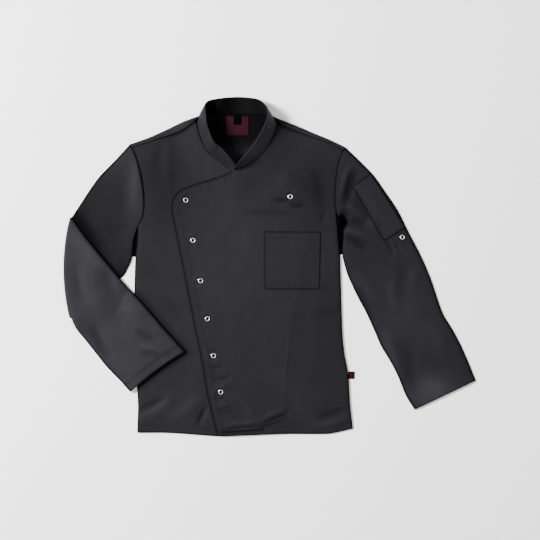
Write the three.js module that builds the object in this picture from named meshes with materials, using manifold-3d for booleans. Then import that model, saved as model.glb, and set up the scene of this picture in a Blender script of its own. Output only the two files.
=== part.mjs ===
// A chef jacket with a crossed front, laid flat and face up, with one sleeve folded at the elbow.
// Millimetres. +X runs from the wearer's right to the wearer's left, +Y from hem to collar, +Z up.
// The jacket rests on z = 0, and its box is centred on x = 0 and y = 0.
import * as THREE from "three";
import { mergeVertices } from "three/addons/utils/BufferGeometryUtils.js";
import Module from "manifold-3d";

const wasm = await Module();
wasm.setup();

// Driving sizes
const CLOTH = 1.2;
const GAP = 0.3;
const SEAM = 0.35;
const SHOULDER_STEPS = 8;
const ARMHOLE_STEPS = 20;
const LAYER = CLOTH + GAP;
const LOFT = 2.4;
const ROLL_WIDTH = 14;
const HEM_LOFT = 0.3;
const HEM_RISE = 42;
const NECK_LIFT = 6;
const NECK_REACH = 70;
const TOP_OF_NET = 372;
const NET_ROWS = 28;
const NET_MIDDLE = 19;
const NET_PASSES = 3;
const HEM_ROWS = 0.12;
const HEM_ROW_SHARE = 0.55;
const EDGE_COLUMNS = [0, 2.5, 7, 14, 25];
const SLEEVE_HEIGHT = 5.2;
const ELBOW_HEIGHT = 4.4;
const SLEEVE_EDGE = 0.8;
const SLEEVE_WIDTH = 190;
const BODY_CLIMB = 6.5;
const ELBOW_CLIMB = 5;
const BAND_HEIGHT = 42;
const BAND_THICK = 2.2;
const BAND_BOW = 1.6;
const SNAP_RADIUS = 6.25;
const SNAP_SIDES = 14;
const SNAP_RESTS = 8;
const CROWN_POWER = 8;
const CUFF_INSET = 4;
const LEAST_RISE = 1.5;
const ARMPIT_FROM = 70;
const ARMPIT_TO = 130;
const LIFT_FROM = 22;
const LIFT_TO = 48;
const CURVE_STEPS = 16;
const CLOSURE_STEPS = 34;
const LEFT_NECK_STEPS = 14;
const WRAP_STEPS = 8;
const WRAP_FOOT = 0.1;
const WRAP_LEG = 4;
const WRAP_TOP = 0.8;
// Lines well outside the body, where a cutting outline closes
const BEYOND_RIGHT = -400;
const BEYOND_LEFT = 290;
const BELOW_HEM = -430;

// Side seams from hem to armpit, then a line well outside the armholes
const RIGHT_SIDE = [
  { y: -420, x: -317 }, { y: -388, x: -317 }, { y: -334, x: -315.6 }, { y: -291, x: -317.5 },
  { y: -164, x: -322.8 }, { y: -65, x: -324 }, { y: 20, x: -322 }, { y: 64, x: -318 },
  { y: 98, x: -318 }, { y: 150, x: -338 }, { y: 300, x: -346 }, { y: 380, x: -346 },
];
const LEFT_SIDE = [
  { y: -420, x: 204 }, { y: -388, x: 200 }, { y: -328, x: 193.2 }, { y: -259, x: 188.9 },
  { y: -204, x: 179.3 }, { y: -162, x: 175.2 }, { y: -80, x: 172.3 }, { y: 26, x: 169.2 },
  { y: 64, x: 166.3 }, { y: 100, x: 163.4 }, { y: 128, x: 161 }, { y: 180, x: 176 },
  { y: 300, x: 194 }, { y: 380, x: 194 },
];
const HEM = [
  { x: -340, y: -398 }, { x: -317, y: -398 }, { x: -244, y: -398.3 }, { x: -167, y: -403.5 },
  { x: -122, y: -406.4 }, { x: -47, y: -404 }, { x: 33, y: -401 }, { x: 130, y: -401 },
  { x: 149, y: -399.5 }, { x: 200, y: -388.4 }, { x: 215, y: -386 },
];
// Armholes start at the shoulder fold, and their second point is the end of the shoulder seam
const RIGHT_ARMHOLE = [[-334, 295], [-331, 288], [-318, 256], [-306, 204], [-301, 155], [-305, 120],
  [-318, 98]];
const LEFT_ARMHOLE = [[181, 287.5], [178, 280], [166.8, 249], [160.8, 213], [157.7, 168], [158.2, 148],
  [161, 128.3]];
const RIGHT_SHOULDER = [[-331, 288], [-303, 296.3], [-270.7, 307.8], [-234.7, 318.6], [-207, 330.6],
  [-178.8, 351]];
const RIGHT_FOLD = [[-333.6, 294.4], [-287, 311], [-247, 329], [-207, 348], [-175.5, 359.6]];
const LEFT_SHOULDER = [[178, 280], [145, 298.5], [105, 312], [65, 326.3], [29.3, 340.2], [15.1, 351]];
const LEFT_FOLD = [[180.6, 287], [145, 304.6], [105, 321], [65, 338.3], [25.2, 353.4], [11, 360]];
const RIGHT_NECK = [[-178.8, 351], [-173.3, 341.4], [-170.4, 328.2], [-163.2, 304.2], [-150, 276.6],
  [-133.2, 261], [-114, 245.9], [-94.8, 231], [-74.4, 216.6]];
const LEFT_NECK = [[-86.4, 227.9], [-70.8, 235.6], [-53, 244.4], [-32.4, 257.9], [-14.2, 274.2], [0, 295.8],
  [8.9, 313.8], [15.1, 331.8], [16.6, 345], [15.1, 351]];
const CLOSURE = [[-122.4, BELOW_HEM], [-122.4, -406.7], [-132.2, -371.9], [-148.6, -300.4], [-165.1, -204.6],
  [-178.1, -144.6], [-190.6, -79.8], [-216.7, 51.2], [-230.2, 117], [-233.5, 141], [-229.2, 162.6],
  [-215.3, 180.6], [-187.4, 193.1], [-146.6, 206], [-114, 216.4], [-86.4, 227.9]];
const UNDER_EDGE = [[-74.4, 216.6], [-18, 198.6], [49.2, 184.2], [78, 160.2], [80.4, 124.2], [66, 52.2],
  [39.6, -79.8], [6, -298.2], [-8.4, -400]];
const UNDER_HEM_LEFT = [-124, -401.5];
const BACK_NECK = [[-170, 355.5], [-152.4, 363], [-118.8, 364.9], [-78, 365.6], [-42, 365.1], [-13.2, 363.9],
  [6, 355.5]];
// Narrow webs of the back that show between each side seam and its sleeve, from below the armpit
const RIGHT_WEB = [[-330, 18], [-326.5, 45], [-322.5, 75]];
const LEFT_WEB = [[170.5, 92], [173, 55], [175.8, 24]];

// How far the wearer's right front reaches under the other one at each height
const UNDER_REACH = [
  { y: -420, x: -8 }, { y: -298, x: 6 }, { y: -80, x: 39.6 }, { y: 52, x: 66 }, { y: 124, x: 80.4 },
  { y: 165, x: 76 }, { y: 200, x: 40 }, { y: 240, x: -10 }, { y: 300, x: -60 }, { y: 400, x: -100 },
];

// The largest soft folds: a line, the width of the fold and how high it stands
const BODY_FOLDS = [
  { x0: 116, y0: -362, x1: 196, y1: -338, width: 15, height: -1.2 },
  { x0: 96, y0: -392, x1: 190, y1: -368, width: 15, height: 1.5 },
  { x0: -32, y0: -420, x1: -38, y1: -360, width: 26, height: 2.2 },
  { x0: -318, y0: -366, x1: -226, y1: -314, width: 17, height: 1.5 },
  { x0: -246, y0: -372, x1: -150, y1: -300, width: 17, height: 1.5 },
  { x0: -60, y0: 128, x1: 66, y1: 118, width: 18, height: -1.1 },
  { x0: -244, y0: 312, x1: -244, y1: 160, width: 20, height: 1.5 },
  { x0: -254, y0: -76, x1: -200, y1: -130, width: 18, height: -1.1 },
  { x0: 120, y0: -106, x1: 170, y1: -118, width: 18, height: -1.1 },
  { x0: 96, y0: -90, x1: 84, y1: -330, width: 24, height: 1.2 },
];
const SLEEVE_FOLDS = [
  { x0: 180, y0: 142, x1: 214, y1: 126, width: 12, height: 1.2 },
  { x0: 186, y0: 66, x1: 236, y1: 36, width: 13, height: -1 },
  { x0: 268, y0: 64, x1: 316, y1: 28, width: 12, height: 1.2 },
  { x0: 320, y0: -10, x1: 296, y1: -62, width: 14, height: -1 },
  { x0: 316, y0: -180, x1: 352, y1: -300, width: 16, height: -1.1 },
  { x0: -470, y0: 90, x1: -380, y1: -8, width: 14, height: -1 },
  { x0: -462, y0: -30, x1: -462, y1: -110, width: 20, height: -0.8 },
  { x0: -372, y0: -30, x1: -376, y1: -70, width: 16, height: 1.2 },
  { x0: -286, y0: -184, x1: -240, y1: -206, width: 10, height: 1.2 },
];

// Edges of the sleeves, a row for each section from shoulder to cuff. bow pushes a section's middle out
const LEFT_SLEEVE = [
  { outerX: 178.5, outerY: 283, innerX: 165.1, innerY: 128.3, height: 5.2 },
  { outerX: 212.4, outerY: 257.4, innerX: 171.6, innerY: 93, height: 5.2 },
  { outerX: 248.4, outerY: 220.7, innerX: 174, innerY: 54.6, height: 5.2 },
  { outerX: 277.2, outerY: 180.6, innerX: 177.6, innerY: 21, height: 5.2 },
  { outerX: 308.4, outerY: 133.8, innerX: 184.6, innerY: -12.1, height: 5.2 },
  { outerX: 334, outerY: 82.4, innerX: 196.8, innerY: -41.4, height: 5.2 },
  { outerX: 363.6, outerY: 25.8, innerX: 213.4, innerY: -76, height: 5 },
  { outerX: 386.4, outerY: -27, innerX: 231.6, innerY: -109.8, height: 5 },
  { outerX: 402, outerY: -73.3, innerX: 250.8, innerY: -151.8, height: 4.8 },
  { outerX: 416.4, outerY: -112.7, innerX: 267.6, innerY: -190.2, height: 4.8 },
  { outerX: 438.5, outerY: -149.4, innerX: 289.2, innerY: -226.2, height: 4.8 },
  { outerX: 458.2, outerY: -186.1, innerX: 307.2, innerY: -261, height: 4.6 },
  { outerX: 477.6, outerY: -229.8, innerX: 326.4, innerY: -307.8, height: 4.6 },
  { outerX: 494.9, outerY: -273, innerX: 348, innerY: -342.8, height: 4.6 },
];
const RIGHT_UPPER_ARM = [
  { outerX: -331.5, outerY: 290.5, innerX: -318, innerY: 98, height: 5.2, bow: 0 },
  { outerX: -366.7, outerY: 259.3, innerX: -327, innerY: 62, height: 5.2, bow: 0 },
  { outerX: -408, outerY: 216.6, innerX: -333, innerY: 21, height: 5.2, bow: 0 },
  { outerX: -422, outerY: 198, innerX: -341, innerY: -6, height: 4.8, bow: 0 },
  { outerX: -434.5, outerY: 179.9, innerX: -356, innerY: -27, height: 4.4, bow: 0 },
  { outerX: -457, outerY: 145.5, innerX: -414, innerY: -77.4, height: 4.4, bow: 4 },
];
const ELBOW_CREASE = { outerX: -474.5, outerY: 118.5, innerX: -475.5, innerY: -123, bow: 14.5 };
const RIGHT_FOREARM = [
  { outerX: -442.8, outerY: 75, innerX: -463.2, innerY: -149.4, bow: 9 },
  { outerX: -414, outerY: 39.6, innerX: -444, innerY: -173.4, bow: 4 },
  { outerX: -382.8, outerY: 1.8, innerX: -426, innerY: -196.2, bow: 1 },
  { outerX: -352.8, outerY: -34.2, innerX: -408, innerY: -219, bow: 0 },
  { outerX: -324, outerY: -65.4, innerX: -392.4, innerY: -238.2, bow: 0 },
  { outerX: -296.4, outerY: -95.4, innerX: -379.2, innerY: -252.6, bow: 0 },
  { outerX: -274.8, outerY: -120.6, innerX: -367.2, innerY: -264.6, bow: 0 },
  { outerX: -255.6, outerY: -142.9, innerX: -355.2, innerY: -276.6, bow: 1 },
  { outerX: -236.4, outerY: -164.5, innerX: -346.8, innerY: -286.2, bow: 2 },
  { outerX: -218.4, outerY: -184.2, innerX: -339.6, innerY: -294, bow: 4 },
  { outerX: -201.4, outerY: -202.7, innerX: -333.6, innerY: -300.6, bow: 5 },
];
// The edge of the upper arm below the elbow, and how far from it and from the side the forearm climbs
const ELBOW_LINE = { outerX: -477.6, outerY: -123, innerX: -356.4, innerY: -25.8 };
const ARM_RAMP = [-26, -3];
const BODY_RAMP = [-352, -328];
const SECTION_STEPS = [0, 0.02, 0.07, 0.16, 0.3, 0.44, 0.58, 0.72, 0.84, 0.93, 0.98, 1];
const FOLD_STEPS = 5;
// How much of the armhole's curve each section has, from the armhole on
const ARMHOLE_FADE = [1, 0.55, 0.2];

// The collar band from its end on the under front, round the back neck, to its end on the over front.
// seat is 0 where it is sewn to the back and 1 where it is sewn to a front, band is its share of the full
// height, and over is 1 where it stands on the over front
const COLLAR = [
  { seamX: -98, seamY: 233, rimX: -84.5, rimY: 247.5, band: 0.64, seat: 1, over: 0 },
  { seamX: -114, seamY: 245.9, rimX: -97, rimY: 263, band: 0.9, seat: 1, over: 0 },
  { seamX: -133.2, seamY: 261, rimX: -115, rimY: 283.1, band: 1, seat: 1, over: 0 },
  { seamX: -150, seamY: 276.6, rimX: -132, rimY: 296.3, band: 1, seat: 1, over: 0 },
  { seamX: -163.2, seamY: 304.2, rimX: -143.5, rimY: 322.8, band: 1, seat: 1, over: 0 },
  { seamX: -170.4, seamY: 328.2, rimX: -149.3, rimY: 342.6, band: 1, seat: 1, over: 0 },
  { seamX: -173.3, seamY: 342.6, rimX: -151.5, rimY: 364, band: 1, seat: 0.9, over: 0 },
  { seamX: -173.2, seamY: 354.5, rimX: -154, rimY: 386, band: 1, seat: 0.55, over: 0 },
  { seamX: -167, seamY: 361, rimX: -147, rimY: 397.5, band: 1, seat: 0.2, over: 0 },
  { seamX: -152.4, seamY: 363.5, rimX: -133.5, rimY: 402, band: 1, seat: 0, over: 0 },
  { seamX: -118.8, seamY: 365.4, rimX: -108.2, rimY: 405, band: 1, seat: 0, over: 0 },
  { seamX: -78, seamY: 366.1, rimX: -76, rimY: 406.7, band: 1, seat: 0, over: 0 },
  { seamX: -42, seamY: 365.6, rimX: -46.1, rimY: 404.5, band: 1, seat: 0, over: 0 },
  { seamX: -13.2, seamY: 364.4, rimX: -27, rimY: 400.8, band: 1, seat: 0, over: 0 },
  { seamX: 1.5, seamY: 361.5, rimX: -15.5, rimY: 393, band: 1, seat: 0.2, over: 0 },
  { seamX: 9.5, seamY: 355.5, rimX: -7, rimY: 381, band: 1, seat: 0.55, over: 0 },
  { seamX: 14, seamY: 347, rimX: -4, rimY: 367, band: 1, seat: 0.9, over: 0 },
  { seamX: 15.6, seamY: 338, rimX: -5.5, rimY: 353, band: 1, seat: 1, over: 0 },
  { seamX: 13.6, seamY: 327, rimX: -10.8, rimY: 338, band: 1, seat: 1, over: 0 },
  { seamX: 8.2, seamY: 312.4, rimX: -21, rimY: 319.2, band: 1, seat: 1, over: 1 },
  { seamX: 0, seamY: 295.8, rimX: -32.4, rimY: 299.9, band: 1, seat: 1, over: 1 },
  { seamX: -14.2, seamY: 274.2, rimX: -46.8, rimY: 280.2, band: 0.98, seat: 1, over: 1 },
  { seamX: -32.4, seamY: 257.9, rimX: -59.8, rimY: 264, band: 0.9, seat: 1, over: 1 },
  { seamX: -53, seamY: 244.4, rimX: -70.1, rimY: 252.4, band: 0.71, seat: 1, over: 1 },
  { seamX: -70.8, seamY: 235.6, rimX: -78.5, rimY: 241.6, band: 0.48, seat: 1, over: 1 },
  { seamX: -84, seamY: 229.4, rimX: -85.5, rimY: 232.6, band: 0.21, seat: 1, over: 1 },
];

const CHEST_POCKET = [[-12, 84], [-12, -48], [-7, -53.5], [115, -53], [120, -47], [122.5, 83]];
const SLEEVE_POCKET = { mouth: [[201, 192], [240.5, 220.5]], foot: [[274.8, 63], [321.5, 92]] };
const POCKET_DOWN = [0, 0.2, 0.4, 0.6, 0.8, 1];
const POCKET_ACROSS = [0, 0.3, 0.6, 0.8, 0.92, 1];
const CLOSURE_SNAPS = [[-200.6, 159.5], [-183.6, 63.2], [-165.1, -33.5], [-148.8, -124.7], [-134.2, -213.2],
  [-116.9, -300.1]];
const CHEST_SNAP = [49.9, 167.9];
const SLEEVE_SNAP = [318, 70.7];
const NECK_LABEL = { x: -77.5, y: 338, width: 56, depth: 49, z: 1.5, thick: 0.7 };
const SIZE_TAB = { x: -77.5, y: 352, width: 17, depth: 22, z: 2.5, thick: 0.7 };
const SIDE_LABEL = { x: 196.8, y: -260, width: 15, depth: 18, z: 0.2, thick: 1.2 };

const clothBlack = new THREE.MeshStandardMaterial({ color: 0x2b2c30, roughness: 0.85, metalness: 0 });
const fastenerMetal = new THREE.MeshStandardMaterial({ color: 0xc4c6c8, roughness: 0.25, metalness: 1 });
const labelMaroon = new THREE.MeshStandardMaterial({ color: 0x5d1424, roughness: 0.8, metalness: 0 });

function mix(a, b, t) {
  return a + (b - a) * t;
}

function smooth(low, high, value) {
  const t = Math.min(1, Math.max(0, (value - low) / (high - low)));
  return t * t * (3 - 2 * t);
}

// A smooth value from a table whose rows rise in key
function lookUp(rows, key, name, value) {
  let i = 0;
  while (i < rows.length - 2 && value > rows[i + 1][key]) i += 1;
  const slope = (k) => {
    const before = rows[Math.max(0, k - 1)];
    const after = rows[Math.min(rows.length - 1, k + 1)];
    return (after[name] - before[name]) / (after[key] - before[key]);
  };
  const span = rows[i + 1][key] - rows[i][key];
  const t = Math.min(1, Math.max(0, (value - rows[i][key]) / span));
  const rise = t * t * (3 - 2 * t);
  const tangents = (t * (1 - t) ** 2 * slope(i) - t * t * (1 - t) * slope(i + 1)) * span;
  return mix(rows[i][name], rows[i + 1][name], rise) + tangents;
}

function curveThrough(points) {
  return new THREE.SplineCurve(points.map(([x, y]) => new THREE.Vector2(x, y)));
}

function spaced(points, count) {
  return curveThrough(points).getSpacedPoints(count);
}

function distanceToLine(points, x, y) {
  let nearest = Infinity;
  for (let i = 0; i + 1 < points.length; i += 1) {
    const [ax, ay] = points[i];
    const [bx, by] = points[i + 1];
    const along = ((x - ax) * (bx - ax) + (y - ay) * (by - ay)) / ((bx - ax) ** 2 + (by - ay) ** 2);
    const t = Math.min(1, Math.max(0, along));
    nearest = Math.min(nearest, Math.hypot(x - mix(ax, bx, t), y - mix(ay, by, t)));
  }
  return nearest;
}

// Sum of the soft folds at a point: each is a rounded ridge or trough that fades at both ends
function foldHeight(folds, x, y) {
  let height = 0;
  for (const fold of folds) {
    const dx = fold.x1 - fold.x0;
    const dy = fold.y1 - fold.y0;
    const length = Math.hypot(dx, dy);
    const along = ((x - fold.x0) * dx + (y - fold.y0) * dy) / length ** 2;
    const across = ((x - fold.x0) * dy - (y - fold.y0) * dx) / length;
    const fade = smooth(-0.25, 0.2, along) * (1 - smooth(0.8, 1.25, along));
    height += fold.height * fade * Math.exp(-((across / fold.width) ** 2));
  }
  return height;
}

// Underside of the first front layer, which lies just on the back at the side seams
function frontBase(x, y) {
  const fromRight = x - lookUp(RIGHT_SIDE, "y", "x", y);
  const fromLeft = lookUp(LEFT_SIDE, "y", "x", y) - x;
  const nearSide = Math.min(fromRight, fromLeft);
  const inwards = Math.min(1, Math.max(0, nearSide / ROLL_WIDTH));
  const belowArmpit = 1 - smooth(ARMPIT_FROM, ARMPIT_TO, y);
  const roll = mix(1, Math.sqrt(1 - (1 - inwards) ** 2), belowArmpit);
  const aboveHem = y - lookUp(HEM, "x", "y", x);
  const hem = mix(HEM_LOFT, 1, smooth(0, HEM_RISE, aboveHem));
  const nearNeck = Math.min(distanceToLine(RIGHT_NECK, x, y), distanceToLine(LEFT_NECK, x, y));
  const lift = NECK_LIFT * (1 - smooth(0, NECK_REACH, nearNeck));
  return CLOTH + GAP + LOFT * roll * hem + foldHeight(BODY_FOLDS, x, y) * roll + lift;
}

// The over front climbs by one layer where the under front lies below it
function overLift(x, y) {
  const past = x - lookUp(UNDER_REACH, "y", "x", y);
  return LAYER * (1 - smooth(LIFT_FROM, LIFT_TO, past));
}

function overBase(x, y) {
  return frontBase(x, y) + overLift(x, y);
}

function overTop(x, y) {
  return overBase(x, y) + CLOTH;
}

// Closed solid from quads that share their corners, turned so that its faces point out
function solidFromFaces(points, faces) {
  const positions = new Float32Array(points.flatMap((p) => [p.x, p.y, p.z]));
  const volume = faces.reduce((sum, [a, b, c]) => sum + points[a].dot(points[b].clone().cross(points[c])), 0);
  const turned = volume < 0 ? faces.map(([a, b, c]) => [a, c, b]) : faces;
  const geometry = new THREE.BufferGeometry();
  geometry.setAttribute("position", new THREE.BufferAttribute(positions, 3));
  geometry.setIndex(turned.flat());
  return geometry;
}

function quad(a, b, c, d) {
  return [[a, b, c], [a, c, d]];
}

// Rings of equal length joined side to side, with a strip of quads across each end
function loft(rings) {
  const size = rings[0].length;
  const points = rings.flat();
  const faces = [];
  for (let r = 0; r + 1 < rings.length; r += 1) {
    for (let k = 0; k < size; k += 1) {
      const next = (k + 1) % size;
      faces.push(...quad(r * size + k, r * size + next, (r + 1) * size + next, (r + 1) * size + k));
    }
  }
  const last = (rings.length - 1) * size;
  for (let k = 0; k < size / 2 - 1; k += 1) {
    const far = size - 1 - k;
    faces.push(...quad(far, far - 1, k + 1, k));
    faces.push(...quad(last + k, last + k + 1, last + far - 1, last + far));
  }
  return solidFromFaces(points, faces);
}

// Tube wall between an outer and an inner ring at each section, open at both ends
function tube(outerRings, innerRings) {
  const size = outerRings[0].length;
  const count = outerRings.length;
  const points = [...outerRings.flat(), ...innerRings.flat()];
  const inside = count * size;
  const faces = [];
  for (let r = 0; r + 1 < count; r += 1) {
    for (let k = 0; k < size; k += 1) {
      const next = (k + 1) % size;
      const here = r * size;
      const there = (r + 1) * size;
      faces.push(...quad(here + k, here + next, there + next, there + k));
      faces.push(...quad(inside + here + next, inside + here + k, inside + there + k, inside + there + next));
    }
  }
  const last = (count - 1) * size;
  for (let k = 0; k < size; k += 1) {
    const next = (k + 1) % size;
    faces.push(...quad(next, k, inside + k, inside + next));
    faces.push(...quad(last + k, last + next, inside + last + next, inside + last + k));
  }
  return solidFromFaces(points, faces);
}

function toManifold(geometry) {
  const bare = geometry.clone();
  bare.deleteAttribute("normal");
  bare.deleteAttribute("uv");
  const merged = mergeVertices(bare, 1e-4);
  const mesh = new wasm.Mesh({
    numProp: 3,
    vertProperties: new Float32Array(merged.attributes.position.array),
    triVerts: new Uint32Array(merged.index.array),
  });
  return new wasm.Manifold(mesh);
}

function fromManifold(solid) {
  const mesh = solid.getMesh();
  const geometry = new THREE.BufferGeometry();
  geometry.setAttribute("position", new THREE.BufferAttribute(new Float32Array(mesh.vertProperties), 3));
  geometry.setIndex(new THREE.BufferAttribute(new Uint32Array(mesh.triVerts), 1));
  return geometry;
}

// Upright block over an outline, for cutting panels out of the net
function prism(outline) {
  const shape = new THREE.Shape(outline.map((p) => new THREE.Vector2(p.x, p.y)));
  const block = new THREE.ExtrudeGeometry(shape, { depth: 120, bevelEnabled: false });
  block.translate(0, 0, -40);
  return block;
}

function columnX(column, y) {
  const right = lookUp(RIGHT_SIDE, "y", "x", y);
  const left = lookUp(LEFT_SIDE, "y", "x", y);
  const edges = EDGE_COLUMNS.length;
  const last = 2 * edges + NET_MIDDLE - 1;
  if (column < edges) return right + EDGE_COLUMNS[column];
  if (column > last - edges) return left - EDGE_COLUMNS[last - column];
  const inset = EDGE_COLUMNS[edges - 1];
  return mix(right + inset, left - inset, (column - edges + 1) / (NET_MIDDLE + 1));
}

// One net of points for every body layer: columns run from hem to collar, rows from side to side
function bodyNet() {
  const columns = 2 * EDGE_COLUMNS.length + NET_MIDDLE;
  const rows = [];
  for (let r = 0; r <= NET_ROWS; r += 1) {
    const part = r / NET_ROWS;
    const up = part * mix(HEM_ROW_SHARE, 1, smooth(0, HEM_ROWS, part));
    const row = [];
    for (let c = 0; c < columns; c += 1) {
      let y = mix(HEM[0].y, TOP_OF_NET, up);
      let x = columnX(c, y);
      for (let pass = 0; pass < NET_PASSES; pass += 1) {
        y = mix(lookUp(HEM, "x", "y", x), TOP_OF_NET, up);
        x = columnX(c, y);
      }
      row.push(new THREE.Vector2(x, y));
    }
    rows.push(row);
  }
  return rows;
}

const net = bodyNet();

// A sheet of cloth over the whole net, with its underside at the given heights
function netSheet(base, thick) {
  const rows = net.length;
  const columns = net[0].length;
  const flat = net.flat();
  const lower = flat.map((p) => new THREE.Vector3(p.x, p.y, base(p.x, p.y)));
  const upper = lower.map((p) => new THREE.Vector3(p.x, p.y, p.z + thick));
  const top = lower.length;
  const at = (r, c) => r * columns + c;
  const faces = [];
  for (let r = 0; r + 1 < rows; r += 1) {
    for (let c = 0; c + 1 < columns; c += 1) {
      const corners = [at(r, c), at(r, c + 1), at(r + 1, c + 1), at(r + 1, c)];
      for (const [a, b, d] of quad(...corners)) faces.push([a + top, b + top, d + top], [d, b, a]);
    }
  }
  const rim = [];
  for (let c = 0; c < columns - 1; c += 1) rim.push(at(0, c));
  for (let r = 0; r < rows - 1; r += 1) rim.push(at(r, columns - 1));
  for (let c = columns - 1; c > 0; c -= 1) rim.push(at(rows - 1, c));
  for (let r = rows - 1; r > 0; r -= 1) rim.push(at(r, 0));
  for (let k = 0; k < rim.length; k += 1) {
    const a = rim[k];
    const b = rim[(k + 1) % rim.length];
    faces.push(...quad(a, b, b + top, a + top));
  }
  return solidFromFaces([...lower, ...upper], faces);
}

function cutPanel(base, outline) {
  const cut = toManifold(netSheet(base, CLOTH)).intersect(toManifold(prism(outline)));
  return fromManifold(cut);
}

// The armhole of a front, from the end of its shoulder seam to the armpit
function frontArmhole(armhole) {
  return spaced(armhole, ARMHOLE_STEPS).filter((p) => p.y < armhole[1][1] - 1);
}

function frontUnder() {
  const outline = [
    new THREE.Vector2(BEYOND_RIGHT, BELOW_HEM), new THREE.Vector2(BEYOND_RIGHT, RIGHT_ARMHOLE.at(-1)[1]),
    ...frontArmhole(RIGHT_ARMHOLE).reverse(), ...spaced(RIGHT_SHOULDER, SHOULDER_STEPS),
    ...spaced(RIGHT_NECK, CURVE_STEPS).slice(1), ...spaced(UNDER_EDGE, CURVE_STEPS).slice(1),
    new THREE.Vector2(...UNDER_HEM_LEFT), new THREE.Vector2(UNDER_HEM_LEFT[0], BELOW_HEM),
  ];
  return cutPanel(frontBase, outline);
}

function frontOver() {
  const outline = [
    ...spaced(CLOSURE, CLOSURE_STEPS), ...spaced(LEFT_NECK, LEFT_NECK_STEPS).slice(1),
    ...spaced(LEFT_SHOULDER, SHOULDER_STEPS).reverse().slice(1), ...frontArmhole(LEFT_ARMHOLE),
    new THREE.Vector2(BEYOND_LEFT, 128), new THREE.Vector2(BEYOND_LEFT, BELOW_HEM),
  ];
  return cutPanel(overBase, outline);
}

// The back folds forward over a shoulder as a half roll that ends at the shoulder seam
function shoulderWrap(foldLine, seamLine) {
  const folds = curveThrough(foldLine);
  const seams = curveThrough(seamLine);
  const rings = [];
  for (let s = 0; s <= SHOULDER_STEPS; s += 1) {
    const part = s / SHOULDER_STEPS;
    const fold = folds.getPointAt(part);
    const seam = seams.getPointAt(part);
    const inwards = seam.clone().sub(fold);
    const reach = inwards.length();
    inwards.normalize();
    const high = frontBase(seam.x, seam.y) + CLOTH;
    const low = WRAP_FOOT;
    const thick = CLOTH - 2 * low;
    const radius = (high - low) / 2;
    const place = (along, z) => new THREE.Vector3(fold.x + inwards.x * along, fold.y + inwards.y * along, z);
    const arc = [0, 0.25, 0.5, 0.75, 1].map((turn) => Math.PI * turn);
    const outside = arc.map((a) => place(radius - radius * Math.sin(a), low + radius - radius * Math.cos(a)));
    const small = radius - thick;
    const inside = arc.map((a) => place(radius - small * Math.sin(a), low + radius - small * Math.cos(a)));
    const legEnd = radius + WRAP_LEG;
    const topEnd = Math.max(reach - 2 * SEAM, radius + WRAP_TOP);
    rings.push([
      place(legEnd, low), ...outside, place(topEnd, high),
      place(topEnd, high - thick), ...inside.reverse(), place(legEnd, low + thick),
    ]);
  }
  return loft(rings);
}

// Moves a line of points sideways, towards its left for a positive distance
function shifted(points, distance) {
  return points.map((p, i) => {
    const before = points[Math.max(0, i - 1)];
    const after = points[Math.min(points.length - 1, i + 1)];
    const along = after.clone().sub(before).normalize();
    return new THREE.Vector2(p.x - along.y * distance, p.y + along.x * distance);
  });
}

function backPanel() {
  const rollInset = 4.2;
  const hemStep = 32;
  const hemInset = 2;
  const sideInset = 0.5;
  const sideStep = 40;
  const rightFold = shifted(spaced(RIGHT_FOLD, WRAP_STEPS), -rollInset);
  const leftFold = shifted(spaced(LEFT_FOLD, WRAP_STEPS), rollInset);
  const hem = [];
  for (let x = 196; x > -316; x -= hemStep) {
    hem.push(new THREE.Vector2(x, lookUp(HEM, "x", "y", x) + hemInset));
  }
  const side = (rows, inset, from, to, step) => {
    const line = [];
    for (let y = from; (to - y) * step > 0; y += step) {
      line.push(new THREE.Vector2(lookUp(rows, "y", "x", y) + inset, y));
    }
    return line;
  };
  const flat = (points) => points.map(([x, y]) => new THREE.Vector2(x, y));
  const outline = [
    ...side(RIGHT_SIDE, sideInset, -395, 15, sideStep), ...flat(RIGHT_WEB),
    ...spaced(RIGHT_ARMHOLE, ARMHOLE_STEPS).reverse().slice(0, -1), ...rightFold.slice(1, -1),
    ...flat(BACK_NECK), ...leftFold.reverse().slice(1, -1),
    ...spaced(LEFT_ARMHOLE, ARMHOLE_STEPS).slice(1), ...flat(LEFT_WEB),
    ...side(LEFT_SIDE, -sideInset, 18, -385, -sideStep), ...hem,
  ];
  const shape = new THREE.Shape(outline);
  const slab = toManifold(new THREE.ExtrudeGeometry(shape, { depth: CLOTH, bevelEnabled: false }));
  const rightWrap = toManifold(shoulderWrap(RIGHT_FOLD, RIGHT_SHOULDER));
  const leftWrap = toManifold(shoulderWrap(LEFT_FOLD, LEFT_SHOULDER));
  return fromManifold(slab.add(rightWrap).add(leftWrap));
}

// Rise of a flattened tube across its width: low at both folded edges and full in between
function crown(u) {
  return Math.sqrt(1 - Math.abs(2 * u - 1) ** CROWN_POWER);
}

// One flattened section: line gives its middle points, up its turned upright, high and low its crowns
function section(line, up, high, low, relief) {
  const outer = [];
  const inner = [];
  const width = line(0).distanceTo(line(1));
  const inset = CUFF_INSET / width;
  const ring = (at, cut, side) => {
    const u = cut > 0 ? mix(inset, 1 - inset, at) : at;
    const p = line(u);
    const raised = side > 0 ? high * crown(u) : low * crown(u);
    const soft = relief(p.x, p.y, side) * crown(u);
    return p.clone().addScaledVector(up, side * (SLEEVE_EDGE + raised + soft - cut));
  };
  for (const u of SECTION_STEPS) {
    outer.push(ring(u, 0, -1));
    inner.push(ring(u, CLOTH, -1));
  }
  for (const u of [...SECTION_STEPS].reverse()) {
    outer.push(ring(u, 0, 1));
    inner.push(ring(u, CLOTH, 1));
  }
  return { outer, inner };
}

function tubeFrom(sections) {
  return tube(sections.map((s) => s.outer), sections.map((s) => s.inner));
}

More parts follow.
